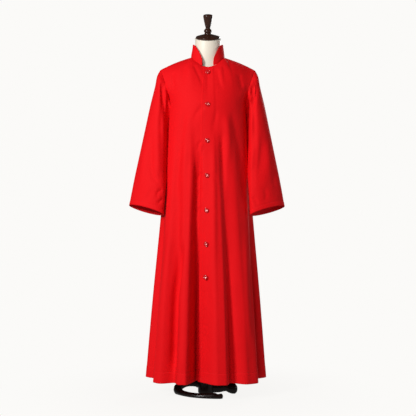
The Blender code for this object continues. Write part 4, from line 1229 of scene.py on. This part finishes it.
def mould_button():
    """The master button: turned, then pressed in along its middle to form the hollow."""
    master = turn_on_lathe("button_master", BUTTON_PROFILE, 28)
    flat = np.zeros(len(master.data.vertices) * 3)
    master.data.vertices.foreach_get("co", flat)
    points = flat.reshape(-1, 3)
    from_middle = np.hypot(points[:, 0], points[:, 1])
    inside = smooth((BUTTON_HOLLOW_RADIUS - from_middle) / BUTTON_HOLLOW_EASE)
    across = np.exp(-((points[:, 0] / BUTTON_HOLLOW_WIDTH) ** 2))
    points[:, 2] -= np.where(points[:, 2] > 0, BUTTON_HOLLOW * inside * across, 0)
    master.data.vertices.foreach_set("co", points.reshape(-1))
    bpy.ops.object.select_all(action="DESELECT")
    bpy.ops.mesh.primitive_cylinder_add(
        vertices=10, radius=BUTTON_THREAD_RADIUS, depth=BUTTON_THREAD_LENGTH,
        location=(0, 0, BUTTON_THREAD_HEIGHT), rotation=(pi / 2, 0, 0),
    )
    sewn = bpy.context.object
    bpy.ops.object.transform_apply(location=True, rotation=True, scale=True)
    master.select_set(True)
    bpy.context.view_layer.objects.active = master
    master.data.materials.append(resin)
    sewn.data.materials.append(thread)
    bpy.ops.object.join()
    return master


resin = resin_material()
master_button = mould_button()
for number, (height, turn) in enumerate(zip(BUTTON_HEIGHTS, BUTTON_TURNS_DEG), 1):
    middle, normal = front_point(0.0, level_at(height))
    normal = Vector(normal + np.array([0, -1, 0])).normalized()
    around = [
        front_point(across, level_at(height + BUTTON_RADIUS * up))[0] - middle
        for across in (-BUTTON_REACH_DEG, 0.0, BUTTON_REACH_DEG)
        for up in (-1, 0, 1)
    ]
    highest = max(float(np.dot(offset, normal)) for offset in around)
    seat = Vector(middle) + normal * (highest + CLOTH + BUTTON_SHANK + BUTTON_THICKNESS / 2)
    facing = normal.to_track_quat("Z", "Y").to_matrix().to_4x4()
    placed = Matrix.Translation(seat) @ facing @ Matrix.Rotation(radians(turn), 4, "Z")
    button = place_piece(f"resin_button_{number}", master_button.data.copy())
    button.data.transform(placed)
    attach(button, "root")
    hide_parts(f"button_{number}")
bpy.data.objects.remove(master_button)

# A record of the size that a cloth piece is cut to: its width, its length and its area.
SheetCut = namedtuple("SheetCut", "width length area")

# ---------------------------------------------------------------------------------------------------------
# Studio. A pale floor fades into the pale backdrop all round. The main light is large and soft, from the
# upper left in front, with weaker ones in front, at the right and behind. The camera is level, 4 m away.
# ---------------------------------------------------------------------------------------------------------
BACKDROP = "#fbfaf8"
BACKDROP_LIGHT = 0.055
FLOOR_RADIUS = 12.0
SoftLight = namedtuple("SoftLight", "name place aim power size in_highlights")
SOFT_LIGHTS = (
    SoftLight("key", (-2.4, -3.0, 2.4), (0, 0, 0.85), 134, (0.8, 1.2), True),
    SoftLight("front", (-1.0, -4.1, 2.1), (0, 0, 0.8), 52, (1.2, 1.2), False),
    SoftLight("fill", (3.6, -0.5, 1.2), (0, 0, 0.8), 18, (1.2, 1.8), True),
    SoftLight("back", (1.9, 3.4, 2.5), (0, 0, 0.8), 75, (1.8, 1.8), True),
)
CAMERA_DISTANCE = 4.0
CAMERA_AIM = Vector((0.0047, 0, 0.7955))
CAMERA_LENS = 80.5
CAMERA_SENSOR = 36.0
CAMERA_ROLL = radians(0.33)


def studio_floor():
    """Painted plywood, white, evenly lit: it takes a faint shadow near the stand and none further off."""
    bpy.ops.object.select_all(action="DESELECT")
    bpy.ops.mesh.primitive_circle_add(vertices=96, radius=FLOOR_RADIUS, fill_type="NGON")
    floor = bpy.context.object
    floor.name = "studio_floor"
    material = bpy.data.materials.new("white_studio_paint")
    material.use_nodes = True
    tree = material.node_tree
    tree.nodes.clear()
    place = add_node(material, "TexCoord", {}, {}).outputs["Object"]
    away = add_node(material, "VectorMath", {"operation": "LENGTH"}, {0: place}).outputs["Value"]
    far = add_node(material, "MapRange", {"interpolation_type": "SMOOTHSTEP"}, {
        "Value": away, "From Min": 0.15, "From Max": 0.9, "To Min": 0.93, "To Max": 1.0,
    }).outputs["Result"]
    paint = add_node(material, "BsdfDiffuse", {}, {"Color": finish_colour("#f4f3f0")}).outputs["BSDF"]
    rays = add_node(material, "LightPath", {}, {}).outputs["Is Camera Ray"]
    shown = add_node(material, "MapRange", {}, {
        "Value": rays, "To Min": 0.30, "To Max": 1.0,
    }).outputs["Result"]
    glow = add_node(material, "Emission", {}, {
        "Color": finish_colour(BACKDROP), "Strength": shown,
    }).outputs["Emission"]
    mixed = add_node(material, "MixShader", {}, {0: far, 1: paint, 2: glow}).outputs["Shader"]
    add_node(material, "OutputMaterial", {}, {"Surface": mixed})
    floor.data.materials.append(material)


def hang_light(soft):
    """One large light, aimed at the garment. One that is not in_highlights lights but isn't reflected."""
    data = bpy.data.lights.new(soft.name, "AREA")
    data.energy = soft.power
    data.shape = "RECTANGLE"
    data.size, data.size_y = soft.size
    light = place_piece(soft.name, data)
    light.location = soft.place
    light.rotation_euler = (Vector(soft.aim) - Vector(soft.place)).to_track_quat("-Z", "Y").to_euler()
    light.visible_glossy = soft.in_highlights


def backdrop_world():
    """The pale backdrop as the camera sees it; it lights the object more weakly than it looks."""
    world = bpy.data.worlds.new("studio_backdrop")
    bpy.context.scene.world = world
    world.use_nodes = True
    tree = world.node_tree
    seen = tree.nodes["Background"]
    seen.inputs["Color"].default_value = finish_colour(BACKDROP)
    cast = add_node(world, "Background", {}, {"Color": finish_colour(BACKDROP), "Strength": BACKDROP_LIGHT})
    rays = add_node(world, "LightPath", {}, {}).outputs["Is Camera Ray"]
    mixed = add_node(world, "MixShader", {}, {
        0: rays, 1: cast.outputs["Background"], 2: seen.outputs["Background"],
    })
    tree.links.new(mixed.outputs["Shader"], tree.nodes["World Output"].inputs["Surface"])


studio_floor()
backdrop_world()
for soft in SOFT_LIGHTS:
    hang_light(soft)

camera_data = bpy.data.cameras.new("camera")
camera_data.lens = CAMERA_LENS
camera_data.sensor_width = CAMERA_SENSOR
camera = place_piece("camera", camera_data)
stands_at = CAMERA_AIM - Vector((0, CAMERA_DISTANCE, 0))
level_view = (CAMERA_AIM - stands_at).to_track_quat("-Z", "Y").to_matrix().to_4x4()
camera.matrix_world = Matrix.Translation(stands_at) @ level_view @ Matrix.Rotation(CAMERA_ROLL, 4, "Z")
bpy.context.scene.camera = camera
bpy.context.scene.view_settings.view_transform = "Standard"
